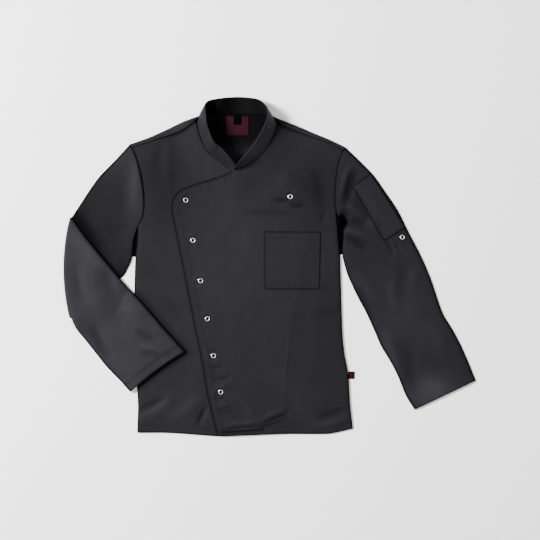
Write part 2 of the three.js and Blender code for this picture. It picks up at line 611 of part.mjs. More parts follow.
// A section's middle line: straight from the outer to the inner edge, with a sideways bow
function sectionLine(row, height) {
  const outer = new THREE.Vector2(row.outerX, row.outerY);
  const inner = new THREE.Vector2(row.innerX, row.innerY);
  const across = inner.clone().sub(outer).normalize();
  return (u) => {
    const p = outer.clone().lerp(inner, u);
    const bow = (row.bow ?? 0) * 4 * u * (1 - u);
    p.x += across.y * bow;
    p.y -= across.x * bow;
    return new THREE.Vector3(p.x, p.y, height(p.x, p.y));
  };
}

// Sections near the shoulder take the shape of the armhole: the first one runs a seam's gap from it
function shoulderLine(row, armhole, fade, side) {
  const straight = sectionLine(row, () => SLEEVE_EDGE);
  const curve = curveThrough(armhole);
  const first = curve.getPointAt(0);
  const last = curve.getPointAt(1);
  return (u) => {
    const onCurve = curve.getPointAt(u);
    const along = curve.getTangentAt(u);
    const apart = new THREE.Vector2(-along.y, along.x).multiplyScalar(side * SEAM);
    const seam = new THREE.Vector3(onCurve.x + apart.x, onCurve.y + apart.y, SLEEVE_EDGE);
    if (fade === 1) return seam;
    const chord = first.clone().lerp(last, u);
    const bend = onCurve.sub(chord).multiplyScalar(fade);
    const p = straight(u);
    return new THREE.Vector3(p.x + bend.x, p.y + bend.y, SLEEVE_EDGE);
  };
}

const UP = new THREE.Vector3(0, 0, 1);
const sleeveRelief = (x, y, side) => (side > 0 ? foldHeight(SLEEVE_FOLDS, x, y) : 0);

function sleeveLeft() {
  const sections = LEFT_SLEEVE.map((row, i) => {
    const line = shoulderLine(row, LEFT_ARMHOLE, ARMHOLE_FADE[i] ?? 0, 1);
    return section(line, UP, row.height - 2 * SLEEVE_EDGE, 0, sleeveRelief);
  });
  return tubeFrom(sections);
}

// The forearm rises from the surface on to the body and on to the upper arm below the elbow
function forearmFloor(x, y) {
  const onBody = BODY_CLIMB * smooth(...BODY_RAMP, x);
  const { outerX, outerY, innerX, innerY } = ELBOW_LINE;
  const edge = new THREE.Vector2(outerX - innerX, outerY - innerY).normalize();
  const above = (x - innerX) * edge.y - (y - innerY) * edge.x;
  const onArm = ELBOW_CLIMB * smooth(...ARM_RAMP, above);
  return Math.max(onBody, onArm);
}

function sleeveRight() {
  const full = SLEEVE_HEIGHT - 2 * SLEEVE_EDGE;
  const thin = ELBOW_HEIGHT - 2 * SLEEVE_EDGE;
  const sections = RIGHT_UPPER_ARM.map((row, i) => {
    const line = shoulderLine(row, RIGHT_ARMHOLE, ARMHOLE_FADE[i] ?? 0, -1);
    const folds = row.height === SLEEVE_HEIGHT ? sleeveRelief : () => 0;
    return section(line, UP, row.height - 2 * SLEEVE_EDGE, 0, folds);
  });
  const axisHeight = ELBOW_HEIGHT + GAP / 2;
  const outwards = new THREE.Vector3(ELBOW_CREASE.innerY - ELBOW_CREASE.outerY,
    ELBOW_CREASE.outerX - ELBOW_CREASE.innerX, 0).normalize();
  for (let step = 0; step <= FOLD_STEPS; step += 1) {
    const angle = (Math.PI * step) / FOLD_STEPS;
    const turned = (1 - Math.cos(angle)) / 2;
    const high = mix(thin, 0, turned);
    const radius = SLEEVE_EDGE + high + GAP / 2;
    const up = new THREE.Vector3(0, 0, Math.cos(angle)).addScaledVector(outwards, -Math.sin(angle));
    const onAxis = sectionLine(ELBOW_CREASE, () => axisHeight);
    const line = (u) => onAxis(u).addScaledVector(up, -radius);
    sections.push(section(line, up, high, mix(0, thin, turned), () => 0));
  }
  const down = UP.clone().negate();
  for (const row of RIGHT_FOREARM) {
    const line = sectionLine(row, (x, y) => forearmFloor(x, y) + SLEEVE_EDGE);
    sections.push(section(line, down, 0, full, (x, y, side) => sleeveRelief(x, y, -side)));
  }
  return tubeFrom(sections);
}

// The stand collar band: a bowed strip between its seam and its rim, with a thickness
function collar() {
  const rows = COLLAR.map((row) => {
    const front = frontBase(row.seamX, row.seamY) + row.over * overLift(row.seamX, row.seamY);
    const seam = new THREE.Vector3(row.seamX, row.seamY, mix(GAP, front, row.seat));
    const flat = Math.hypot(row.rimX - row.seamX, row.rimY - row.seamY);
    const rise = Math.sqrt(Math.max(0, (row.band * BAND_HEIGHT) ** 2 - flat ** 2));
    const rim = new THREE.Vector3(row.rimX, row.rimY, seam.z + Math.max(rise, LEAST_RISE));
    return { seam, rim, seat: row.seat, bow: BAND_BOW * (rise / BAND_HEIGHT) };
  });
  const rings = rows.map(({ seam, rim, seat, bow }, i) => {
    const before = rows[Math.max(0, i - 1)];
    const after = rows[Math.min(rows.length - 1, i + 1)];
    const along = after.seam.clone().add(after.rim).sub(before.seam).sub(before.rim).setZ(0);
    const height = rim.clone().sub(seam);
    const inwards = along.clone().cross(height).normalize();
    const apart = inwards.clone().setZ(0).normalize().multiplyScalar(2 * SEAM * seat);
    const steps = [0, 1 / 3, 2 / 3, 1];
    const face = (t, depth) => seam.clone().lerp(rim, t).add(apart)
      .addScaledVector(inwards, depth - bow * 4 * t * (1 - t));
    return [...steps.map((t) => face(t, 0)), ...[...steps].reverse().map((t) => face(t, BAND_THICK))];
  });
  return loft(rings);
}

function chestPocket() {
  const outline = CHEST_POCKET.map(([x, y]) => new THREE.Vector2(x, y));
  return cutPanel((x, y) => overTop(x, y) + GAP, outline);
}

// Top of the wearer's left sleeve, which rolls down towards its folded outer edge
function leftSleeveTop(x, y) {
  const fromEdge = distanceToLine(LEFT_SLEEVE.map((row) => [row.outerX, row.outerY]), x, y);
  const full = crown(Math.min(0.5, fromEdge / SLEEVE_WIDTH));
  return 2 * SLEEVE_EDGE + (SLEEVE_HEIGHT - 2 * SLEEVE_EDGE + foldHeight(SLEEVE_FOLDS, x, y)) * full;
}

// A slanted patch on the sleeve, from its mouth down to its foot, that rolls down with the sleeve's edge
function sleevePocket() {
  const { mouth, foot } = SLEEVE_POCKET;
  const rings = POCKET_DOWN.map((down) => {
    const lower = POCKET_ACROSS.map((across) => {
      const x = mix(mix(mouth[0][0], mouth[1][0], across), mix(foot[0][0], foot[1][0], across), down);
      const y = mix(mix(mouth[0][1], mouth[1][1], across), mix(foot[0][1], foot[1][1], across), down);
      return new THREE.Vector3(x, y, leftSleeveTop(x, y) + 2 * GAP);
    });
    return [...lower, ...lower.map((p) => p.clone().setZ(p.z + CLOTH)).reverse()];
  });
  return loft(rings);
}

// A ring press fastener with a sunken middle, its foot just above the highest cloth under it
function snap([x, y], top) {
  const profile = [
    [0, 0], [SNAP_RADIUS, 0], [SNAP_RADIUS, 0.7], [5.3, 1.7], [4.3, 1.6], [3.6, 0.8], [0, 0.8],
  ];
  const ring = new THREE.LatheGeometry(profile.map(([r, z]) => new THREE.Vector2(r, z)), SNAP_SIDES);
  ring.rotateX(Math.PI / 2);
  let foot = top(x, y);
  for (let k = 0; k < SNAP_RESTS; k += 1) {
    const angle = (2 * Math.PI * k) / SNAP_RESTS;
    foot = Math.max(foot, top(x + SNAP_RADIUS * Math.cos(angle), y + SNAP_RADIUS * Math.sin(angle)));
  }
  ring.translate(x, y, foot + GAP);
  return fromManifold(toManifold(ring));
}

function plate({ x, y, width, depth, z, thick }) {
  const block = new THREE.BoxGeometry(width, depth, thick);
  block.translate(x, y, z + thick / 2);
  return block;
}

const jacket = new THREE.Group();

function addPiece(name, geometry, material) {
  const mesh = new THREE.Mesh(geometry, material);
  mesh.name = name;
  jacket.add(mesh);
}

addPiece("back", backPanel(), clothBlack);
addPiece("front_under", frontUnder(), clothBlack);
addPiece("front_over", frontOver(), clothBlack);
addPiece("collar", collar(), clothBlack);
addPiece("sleeve_left", sleeveLeft(), clothBlack);
addPiece("sleeve_right", sleeveRight(), clothBlack);
addPiece("chest_pocket", chestPocket(), clothBlack);
addPiece("sleeve_pocket", sleevePocket(), clothBlack);
CLOSURE_SNAPS.forEach((place, i) => addPiece(`snap_${i + 1}`, snap(place, overTop), fastenerMetal));
addPiece("snap_chest", snap(CHEST_SNAP, overTop), fastenerMetal);
addPiece("snap_sleeve", snap(SLEEVE_SNAP, leftSleeveTop), fastenerMetal);
addPiece("neck_label", plate(NECK_LABEL), labelMaroon);
addPiece("size_tab", plate(SIZE_TAB), clothBlack);
addPiece("side_label", plate(SIDE_LABEL), labelMaroon);

const extent = new THREE.Box3().setFromObject(jacket);
const middle = extent.getCenter(new THREE.Vector3());
jacket.position.set(-middle.x, -middle.y, 0);

export default jacket;
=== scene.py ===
# %% [markdown]
# # A chef jacket laid flat
#
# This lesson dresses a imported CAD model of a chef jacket. The jacket lies face up on a pale floor, with a
# crossed front, a stand collar and one sleeve folded back at the elbow. The CAD model gives the outline,
# the heights and the places of the fasteners. Blender adds what makes it cloth: thin shells with soft
# creases, rolled edges, rows of stitches, twill, bright ring fasteners and plain woven labels.
#
# Every table below is in millimetres, as a pattern maker would write it, and each mesh is turned into
# metres once, when it is made.

# %% Load the frame
import math

import bpy
import numpy as np
from mathutils import Matrix, Vector, geometry, kdtree
from mathutils.bvhtree import BVHTree


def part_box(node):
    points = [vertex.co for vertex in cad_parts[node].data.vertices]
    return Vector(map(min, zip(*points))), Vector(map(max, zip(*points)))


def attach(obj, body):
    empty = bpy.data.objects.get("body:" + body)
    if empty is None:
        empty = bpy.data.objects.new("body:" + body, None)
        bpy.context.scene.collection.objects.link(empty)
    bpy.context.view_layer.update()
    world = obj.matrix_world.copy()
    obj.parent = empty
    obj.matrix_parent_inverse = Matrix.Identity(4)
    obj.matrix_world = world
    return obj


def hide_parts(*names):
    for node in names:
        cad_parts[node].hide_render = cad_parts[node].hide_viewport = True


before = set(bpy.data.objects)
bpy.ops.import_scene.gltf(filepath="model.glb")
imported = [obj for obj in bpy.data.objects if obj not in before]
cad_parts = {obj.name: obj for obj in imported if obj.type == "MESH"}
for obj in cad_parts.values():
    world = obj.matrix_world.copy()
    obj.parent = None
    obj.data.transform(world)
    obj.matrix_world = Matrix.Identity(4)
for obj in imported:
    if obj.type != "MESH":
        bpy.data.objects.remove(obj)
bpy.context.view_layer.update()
MM = 0.001
print("nodes:", sorted(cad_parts))

# %% [markdown]
# The camera hangs over the jacket and looks straight down, because the photograph shows the garment in
# plan. A long lens a few metres away keeps the sides of the cloth from showing, as they do in such a
# picture. The focal length follows from the width of floor that the picture takes in.

# %% Camera
CAMERA_HEIGHT = 4.0
VIEW_WIDTH = 1.296
VIEW_CENTRE = (0.0005, -0.008)
SENSOR = 36.0

camera_data = bpy.data.cameras.new("camera")
camera_data.sensor_width = SENSOR
camera_data.lens = SENSOR * CAMERA_HEIGHT / VIEW_WIDTH
camera = bpy.data.objects.new("camera", camera_data)
camera.location = (*VIEW_CENTRE, CAMERA_HEIGHT)
bpy.context.collection.objects.link(camera)
bpy.context.scene.camera = camera
print("lens in mm:", round(camera_data.lens, 1))

# %% [markdown]
# Black cloth shows its creases only where light grazes it. So one large soft lamp stands low on the left
# and draws the folds, a weaker one fills from the upper right, and a white surround keeps the shadows open
# and gives the metal rings something bright to mirror.

# %% Floor and lights
FLOOR_SIZE = 14.0


def area_lamp(name, place, aim, size, power, colour=(1, 1, 1)):
    lamp = bpy.data.lights.new(name, "AREA")
    lamp.shape = "SQUARE"
    lamp.size = size
    lamp.energy = power
    lamp.color = colour
    lamp_object = bpy.data.objects.new(name, lamp)
    lamp_object.location = place
    lamp_object.rotation_euler = (Vector(aim) - Vector(place)).to_track_quat("-Z", "Y").to_euler()
    bpy.context.collection.objects.link(lamp_object)
    return lamp_object


area_lamp("key_lamp", (-3.8, 1.3, 2.6), (0.05, 0, 0), 1.3, 1050)
area_lamp("fill_lamp", (2.0, 1.6, 3.0), (0, 0, 0), 2.0, 40)
area_lamp("top_lamp", (0.0, -0.4, 3.6), (0, 0, 0), 2.4, 22)

world = bpy.data.worlds.new("studio")
world.use_nodes = True
world.node_tree.nodes["Background"].inputs["Color"].default_value = (1, 1, 1, 1)
world.node_tree.nodes["Background"].inputs["Strength"].default_value = 0.5
bpy.context.scene.world = world

# %% [markdown]
# ## Materials
#
# Twill is woven with a step at each row, so its surface shows fine slanted ribs. Two sine waves in the
# shader make them: a strong one across the ribs and a weak one across the yarns. Both follow a UV map that
# holds the cloth's own flat coordinates in metres, so the ribs turn with each cut piece as they do on a
# real garment. A painted value called tone carries painted light and shade: it darkens hollows, creases,
# seams and the cloth under edges, where shade falls, lightens broad patches where light falls, and darkens
# the lining and facing inside the neck, partly for their black cloth and partly for the shade there.

# %% Shader helpers
TURN = 2 * math.pi


def new_material(name):
    material = bpy.data.materials.new(name)
    material.use_nodes = True
    return material, material.node_tree, material.node_tree.nodes["Principled BSDF"]


def calc(tree, operation, *values):
    node = tree.nodes.new("ShaderNodeMath")
    node.operation = operation
    for socket, value in zip(node.inputs, values):
        if isinstance(value, (int, float)):
            socket.default_value = value
        else:
            tree.links.new(value, socket)
    return node.outputs[0]


def noise(tree, vector, scale, detail=2.0):
    node = tree.nodes.new("ShaderNodeTexNoise")
    node.inputs["Scale"].default_value = scale
    node.inputs["Detail"].default_value = detail
    tree.links.new(vector, node.inputs["Vector"])
    return node.outputs["Fac"]


def spread(tree, value, low, high):
    """A value from 0 to 1 moved to run from low to high."""
    return calc(tree, "MULTIPLY_ADD", value, high - low, low)


def waves(tree, across, pitch):
    """Ribs that repeat every pitch metres, from 0 to 1."""
    return spread(tree, calc(tree, "SINE", calc(tree, "MULTIPLY", across, TURN / pitch)), 0.5, 1.0)


def times_colour(tree, colour, value):
    """A plain colour whose brightness follows a value."""
    node = tree.nodes.new("ShaderNodeVectorMath")
    node.operation = "SCALE"
    node.inputs[0].default_value = colour
    tree.links.new(value, node.inputs["Scale"])
    return node.outputs[0]


def object_coordinates(tree):
    return tree.nodes.new("ShaderNodeTexCoord").outputs["Object"]


def bump(tree, shader, height, distance, strength, below=None):
    """Relief from a height, on top of the relief of another bump node if one is given."""
    node = tree.nodes.new("ShaderNodeBump")
    node.inputs["Distance"].default_value = distance
    node.inputs["Strength"].default_value = strength
    tree.links.new(height, node.inputs["Height"])
    if below is not None:
        tree.links.new(below.outputs["Normal"], node.inputs["Normal"])
    tree.links.new(node.outputs["Normal"], shader.inputs["Normal"])
    return node


def handled(tree, vector):
    """Height of the slight unevenness that cloth keeps from being handled, from 0 to 1."""
    drawn = tree.nodes.new("ShaderNodeMapping")
    drawn.inputs["Rotation"].default_value = (0, 0, 0.9)
    drawn.inputs["Scale"].default_value = (1, 0.7, 1)
    tree.links.new(vector, drawn.inputs["Vector"])
    broad = noise(tree, drawn.outputs["Vector"], 17, 2)
    close = noise(tree, drawn.outputs["Vector"], 70, 1)
    return calc(tree, "MULTIPLY_ADD", close, 0.12, broad)


# %% Twill and ribbon
CLOTH_MAP = "cloth"


def woven(name, colour, rib, slant, relief, sheen, roughness, gloss):
    material, tree, shader = new_material(name)
    flat = tree.nodes.new("ShaderNodeUVMap")
    flat.uv_map = CLOTH_MAP
    parts = tree.nodes.new("ShaderNodeSeparateXYZ")
    tree.links.new(flat.outputs["UV"], parts.inputs[0])
    across, along = parts.outputs["X"], parts.outputs["Y"]
    slanted = calc(tree, "MULTIPLY_ADD", along, slant, across)
    ribs = waves(tree, slanted, rib)
    yarns = waves(tree, calc(tree, "MULTIPLY_ADD", across, -slant, along), rib * 0.45)
    weave = calc(tree, "MULTIPLY_ADD", yarns, 0.35, ribs)
    place = object_coordinates(tree)
    cloudy = noise(tree, place, 14, 3)
    speckled = noise(tree, flat.outputs["UV"], 2600, 1)
    tone = tree.nodes.new("ShaderNodeAttribute")
    tone.attribute_name = "tone"
    shade = calc(tree, "MULTIPLY", spread(tree, cloudy, 0.9, 1.1), spread(tree, speckled, 0.86, 1.14))
    shade = calc(tree, "MULTIPLY", shade, spread(tree, ribs, 0.88, 1.06))
    # The tone's painted light and shade scale the colour here, and below the specular and the sheen too
    shade = calc(tree, "MULTIPLY", shade, tone.outputs["Fac"])
    tree.links.new(times_colour(tree, colour, shade), shader.inputs["Base Color"])
    tree.links.new(times_colour(tree, (1, 1, 1), tone.outputs["Fac"]), shader.inputs["Specular Tint"])
    tree.links.new(times_colour(tree, (0.86, 0.88, 0.95), tone.outputs["Fac"]), shader.inputs["Sheen Tint"])
    tree.links.new(spread(tree, cloudy, roughness - 0.04, roughness + 0.04), shader.inputs["Roughness"])
    shader.inputs["Sheen Weight"].default_value = sheen
    shader.inputs["Sheen Roughness"].default_value = 0.4
    shader.inputs["Specular IOR Level"].default_value = gloss
    uneven = bump(tree, shader, handled(tree, place), 0.004, 0.42)
    bump(tree, shader, weave, 0.00025, relief, uneven)
    return material


twill = woven("charcoal_twill", (0.0091, 0.0087, 0.0104), 0.0011, 1.0, 0.3, 0.014, 0.7, 0.055)
# A darker cloth for the collar's inner face, standing both for a black lining and for the deep shade inside
# the collar
lining_and_shade = woven("black_lining_and_shade", (0.0026, 0.0026, 0.0029), 0.0011, 1.0, 0.3, 0.006, 0.8, 0.04)
ribbon = woven("maroon_ribbon", (0.0155, 0.0009, 0.0044), 0.0006, 0.0, 0.3, 0.005, 0.6, 0.05)
tape = woven("black_tape", (0.0004, 0.0004, 0.0004), 0.0006, 0.0, 0.3, 0.0, 0.7, 0.01)

# %% [markdown]
# Sewing thread has a tighter twist than the cloth and catches a little more light. The ring fasteners are
# nickel plated: metallic, smooth, with faint marks from wear. Their centre is a near-black disc, which
# stands both for the black cloth inside the ring and for the painted shade there.

# %% Thread, metal and floor
def grained(name, colour, grain, clouds, dapple, roughness, relief, **constants):
    """A material whose colour follows the noise clouds, and its roughness and relief a finer grain."""
    material, tree, shader = new_material(name)
    place = object_coordinates(tree)
    fine = noise(tree, place, *grain)
    broad = fine if clouds is None else noise(tree, place, *clouds)
    tree.links.new(times_colour(tree, colour, spread(tree, broad, *dapple)), shader.inputs["Base Color"])
    tree.links.new(spread(tree, fine, *roughness), shader.inputs["Roughness"])
    for title, value in constants.items():
        shader.inputs[title.replace("_", " ")].default_value = value
    bump(tree, shader, fine, *relief)
    return material


def floor_material():
    material, tree, shader = new_material("pale_floor")
    place = object_coordinates(tree)
    clouds = noise(tree, place, 0.8, 2)
    tree.links.new(times_colour(tree, (0.93, 0.93, 0.93), spread(tree, clouds, 0.99, 1.01)),
                   shader.inputs["Base Color"])
    shader.inputs["Roughness"].default_value = 1.0
    shader.inputs["Specular IOR Level"].default_value = 0.0
    return material


thread = grained("charcoal_thread", (0.0125, 0.0125, 0.014), (3000, 2), None, (0.75, 1.25), (0.5, 0.65),
                 (0.0001, 0.4), Sheen_Weight=0.02, Specular_IOR_Level=0.15)
nickel = grained("nickel", (0.80, 0.80, 0.81), (900, 3), (220, 2), (0.92, 1.04), (0.16, 0.34),
                 (0.00005, 0.25), Metallic=1.0)
# The ring's near-black centre: the black cloth inside the ring and painted shade there
centre_black_and_shade = grained("ring_centre_black_and_shade", (0.002, 0.002, 0.0022), (1400, 2), None, (0.7, 1.3), (0.4, 0.6),
                       (0.00005, 0.3), Specular_IOR_Level=0.1)
half = FLOOR_SIZE / 2
floor_mesh = bpy.data.meshes.new("floor")
floor_mesh.from_pydata([(-half, -half, 0), (half, -half, 0), (half, half, 0), (-half, half, 0)], [],
                       [(0, 1, 2, 3)])
floor_mesh.materials.append(floor_material())
floor = bpy.data.objects.new("floor", floor_mesh)
floor.location.z = -0.0002
bpy.context.collection.objects.link(floor)
print("materials:", [material.name for material in bpy.data.materials])

# %% [markdown]
# ## The pattern
#
# A garment starts as a paper pattern, and so does this one. The tables hold the outline of each panel as it
# lies, from the same driving values as the CAD source. A table that gives one number for another is read
# with a smooth Hermite curve, and an outline is a spline through its points.

# %% Curves and tables
def mix(a, b, t):
    return a + (b - a) * t


def smooth(low, high, value):
    t = np.clip((value - low) / (high - low), 0, 1)
    return t * t * (3 - 2 * t)


def quarter_round(share):
    """A rise from 0 to 1 along a quarter of a circle."""
    return np.sqrt(1 - (1 - np.clip(share, 0, 1)) ** 2)


def look_up(rows, value):
    """The smooth value at each key, from rows of (key, value) whose keys rise."""
    keys, values = np.array(rows, float).T
    value = np.asarray(value, float)
    count = np.arange(len(keys))
    after, before = np.minimum(count + 1, len(keys) - 1), np.maximum(count - 1, 0)
    slope = (values[after] - values[before]) / (keys[after] - keys[before])
    i = np.clip(np.searchsorted(keys, value) - 1, 0, len(keys) - 2)
    span = keys[i + 1] - keys[i]
    t = np.clip((value - keys[i]) / span, 0, 1)
    bend = (t * (1 - t) ** 2 * slope[i] - t * t * (1 - t) * slope[i + 1]) * span
    return mix(values[i], values[i + 1], t * t * (3 - 2 * t)) + bend


def along_rows(rows, steps):
    """Rows of numbers with steps - 1 smooth rows put between each two."""
    rows = np.array(rows, float)
    result = []
    for i in range(len(rows) - 1):
        a, b = rows[i], rows[i + 1]
        start = (b - rows[max(i - 1, 0)]) / 2
        end = (rows[min(i + 2, len(rows) - 1)] - a) / 2
        t = (np.arange(steps) / steps)[:, None]
        result.append((2 * a - 2 * b + start + end) * t**3 + (3 * b - 3 * a - 2 * start - end) * t**2
                      + start * t + a)
    return np.vstack([*result, rows[-1:]])


def walked(line):
    """Distance from the start to each point of a line."""
    return np.concatenate([[0], np.cumsum(np.linalg.norm(np.diff(line, axis=0), axis=1))])


def evenly(line, step):
    """The same line with its points about step apart."""
    line = np.array(line, float)
    far = walked(line)
    marks = np.linspace(0, far[-1], max(2, round(far[-1] / step)) + 1)
    return np.stack([np.interp(marks, far, column) for column in line.T], axis=1)


def curve(points, step=2.5):
    """A smooth line through points, with its points about step apart."""
    return evenly(along_rows(points, 24), step)


def sideways(line):
    """The direction to the left of a line at each of its points."""
    before, after = np.roll(line, 1, axis=0), np.roll(line, -1, axis=0)
    before[0], after[-1] = line[0], line[-1]
    along = after - before
    along /= np.linalg.norm(along, axis=1)[:, None]
    return np.stack([-along[:, 1], along[:, 0]], axis=1)


def moved(line, distance):
    """A line moved to its left."""
    return line + sideways(line) * distance


def beside(line, x, y, block=4000):
    """How far each point lies to the left of a line, and its share of the way along it."""
    a, step = line[:-1], np.diff(line, axis=0)
    length = np.hypot(*step.T)
    start = np.concatenate([[0], np.cumsum(length)])
    away, share = np.empty(len(x)), np.empty(len(x))
    for first in range(0, len(x), block):
        part = slice(first, first + block)
        px, py = x[part, None] - a[:, 0], y[part, None] - a[:, 1]
        t = np.clip((px * step[:, 0] + py * step[:, 1]) / length**2, 0, 1)
        off = np.hypot(px - t * step[:, 0], py - t * step[:, 1])
        k = off.argmin(1)
        row = np.arange(len(k))
        turn = step[k, 0] * py[row, k] - step[k, 1] * px[row, k]
        away[part] = np.where(turn >= 0, 1, -1) * off[row, k]
        share[part] = (start[k] + t[row, k] * length[k]) / start[-1]
    return away, share


def distance(line, x, y):
    return np.abs(beside(line, x, y)[0])


# %% The body's outlines
RIGHT_SIDE = [(-420, -317), (-388, -317), (-334, -315.6), (-291, -317.5), (-164, -322.8), (-65, -324),
              (20, -322), (64, -318), (98, -318), (150, -338), (300, -346), (380, -346)]
LEFT_SIDE = [(-420, 204), (-388, 200), (-328, 193.2), (-259, 188.9), (-204, 179.3), (-162, 175.2),
             (-80, 172.3), (26, 169.2), (64, 166.3), (100, 163.4), (128, 161), (180, 176), (300, 194),
             (380, 194)]
HEM = [(-340, -398), (-317, -398), (-244, -398.3), (-167, -403.5), (-122, -406.4), (-47, -404), (33, -401),
       (130, -401), (149, -399.5), (200, -388.4), (215, -386)]
RIGHT_ARMHOLE = [(-334, 295), (-331, 288), (-318, 256), (-306, 204), (-301, 155), (-305, 120), (-318, 98)]
LEFT_ARMHOLE = [(181, 287.5), (178, 280), (166.8, 249), (160.8, 213), (157.7, 168), (158.2, 148),
                (161, 128.3)]
RIGHT_SHOULDER = [(-331, 288), (-303, 296.3), (-270.7, 307.8), (-234.7, 318.6), (-207, 330.6), (-178.8, 351)]
RIGHT_FOLD = [(-333.6, 294.4), (-287, 311), (-247, 329), (-207, 348), (-171, 361)]
LEFT_SHOULDER = [(178, 280), (145, 298.5), (105, 312), (65, 326.3), (29.3, 340.2), (15.1, 351)]
LEFT_FOLD = [(180.6, 287), (145, 304.6), (105, 321), (65, 338.3), (25.2, 353.4), (7.5, 361.2)]
RIGHT_NECK = [(-178.8, 351), (-173.3, 341.4), (-170.4, 328.2), (-163.2, 304.2), (-150, 276.6),
              (-133.2, 261), (-114, 245.9), (-94.8, 231), (-74.4, 216.6)]
LEFT_NECK = [(-86.4, 227.9), (-70.8, 235.6), (-53, 244.4), (-32.4, 257.9), (-14.2, 274.2), (0, 295.8),
             (8.9, 313.8), (15.1, 331.8), (16.6, 345), (15.1, 351)]
CLOSURE = [(-122.4, -406.7), (-132.2, -371.9), (-148.6, -300.4), (-165.1, -204.6), (-178.1, -144.6),
           (-190.6, -79.8), (-216.7, 51.2), (-230.2, 117), (-233.5, 141), (-229.2, 162.6),
           (-215.3, 180.6), (-187.4, 193.1), (-146.6, 206), (-114, 216.4), (-86.4, 227.9)]
UNDER_EDGE = [(-74.4, 216.6), (-18, 198.6), (49.2, 184.2), (78, 160.2), (80.4, 124.2), (66, 52.2),
              (39.6, -79.8), (6, -298.2), (-8.4, -400)]
UNDER_REACH = [(-420, -8), (-298, 6), (-80, 39.6), (52, 66), (124, 80.4), (165, 76), (200, 40),
               (240, -10), (300, -60), (400, -100)]
STRIP_ENDS = [(-173, 355), (10.5, 355)]
BACK_NECK = [(-169.6, 362.8), (-152.4, 364.6), (-118.8, 366.5), (-78, 367.2), (-42, 366.7), (-12.6, 365.4),
             (3, 361.6)]
RIGHT_WEB = [(-331, 25), (-330, 45), (-327.8, 62), (-324.8, 76)]
LEFT_WEB = [(172.6, 92), (175.2, 55), (176.2, 31)]
NECK_LABEL_CENTRE = (-77.5, 338)

label_low, label_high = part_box("neck_label")
SHIFT = np.array((label_low + label_high) / 2)[:2] - np.array(NECK_LABEL_CENTRE) * MM
print("the frame lies off the pattern by, in mm:", np.round(SHIFT / MM, 3))

# %% [markdown]
# ## How high the cloth lies
#
# The heights follow the CAD model: the fronts roll down to the back at the side seams, press flat at the
# hem, climb by one layer where they overlap and lift towards the collar. On top of that come the creases.
# Each is a soft ridge or trough along its own line, with its own width on either side and its own height,
# and it fades towards both ends. They are placed one by one, because creases that repeat give cloth away as
# false.

# %% Heights shared with the solids
CLOTH = 1.2
GAP = 0.3
LAYER = CLOTH + GAP
LOFT = 2.4
ROLL_WIDTH = 14
HEM_LOFT = 0.3
HEM_RISE = 42
NECK_LIFT = 6
NECK_REACH = 70
SLEEVE_EDGE = 0.8
ELBOW_HEIGHT = 4.4
BODY_CLIMB = 6.5
ELBOW_CLIMB = 5
ARMPIT = (70, 130)
STEP_DOWN = (12, 62)
CREASE_STRENGTH = 1.3
CREASE_SHADE = 0.06


def relief(creases, x, y):
    """Sum of creases at each point: (line, width to its left, width to its right, height)."""
    total = np.zeros(len(x))
    for line, left, right, height in creases:
        line = np.array(line, float)
        reach = 3 * max(left, right)
        low, high = line.min(0) - reach, line.max(0) + reach
        near = (x > low[0]) & (x < high[0]) & (y > low[1]) & (y < high[1])
        if near.any():
            away, share = beside(curve(line, 8), x[near], y[near])
            width = np.where(away > 0, left, right)
            along = np.sin(np.pi * share) ** 0.8
            total[near] += CREASE_STRENGTH * height * along * np.exp(-((away / width) ** 2))
    return total


def crease_tone(creases, x, y):
    """Less light reaches the bottom of a crease, and more its back."""
    return np.clip(1 + CREASE_SHADE * relief(creases, x, y), 0.5, 1.3)


BODY_CREASES = [
    ([(116, -364), (156, -352), (196, -338)], 9, 13, -2.2),
    ([(90, -386), (140, -380), (192, -364)], 10, 10, 1.8),
    ([(-16, -378), (14, -366), (48, -352)], 5, 7, -2.2),
    ([(-318, -366), (-270, -346), (-226, -312)], 14, 18, 2.0),
    ([(-316, -350), (-280, -334), (-246, -312)], 10, 8, -2.0),
    ([(-246, -374), (-200, -344), (-152, -302)], 14, 18, 1.9),
    ([(-174, -384), (-160, -354), (-150, -332)], 5, 7, -2.2),
    ([(-66, 128), (0, 127), (72, 118)], 8, 11, -1.7),
    ([(-244, 322), (-243, 250), (-244, 160)], 11, 18, 1.1),
    ([(-258, 318), (-262, 270), (-272, 210)], 14, 12, -0.8),
    ([(-262, -70), (-230, -96), (-200, -130)], 16, 12, -1.4),
    ([(-300, -40), (-250, -66), (-196, -84)], 20, 14, 1.2),
    ([(114, -102), (144, -114), (174, -112)], 10, 14, -1.3),
    ([(126, -40), (150, -58), (172, -64)], 12, 10, -1.1),
    ([(68, -66), (48, -166), (38, -270), (33, -372)], 3, 4, 0.45),
    ([(-24, -366), (12, -352), (44, -338)], 6, 8, 1.5),
    ([(-92, -300), (-60, -330), (-30, -372)], 14, 14, 1.2),
    ([(-110, -330), (-80, -356), (-60, -384)], 12, 10, -1.2),
    ([(20, 262), (40, 210), (50, 180)], 20, 26, 1.0),
    ([(108, 240), (122, 190), (134, 134)], 18, 14, -1.6),
    ([(136, 132), (130, 117), (122, 104)], 4, 5, -1.1),
    ([(10, -250), (60, -300), (100, -376)], 30, 26, 1.2),
    ([(-180, -20), (-120, -60), (-40, -80)], 30, 30, 0.8),
    ([(-110, 150), (-60, 100), (-40, 20)], 34, 30, 0.8),
]


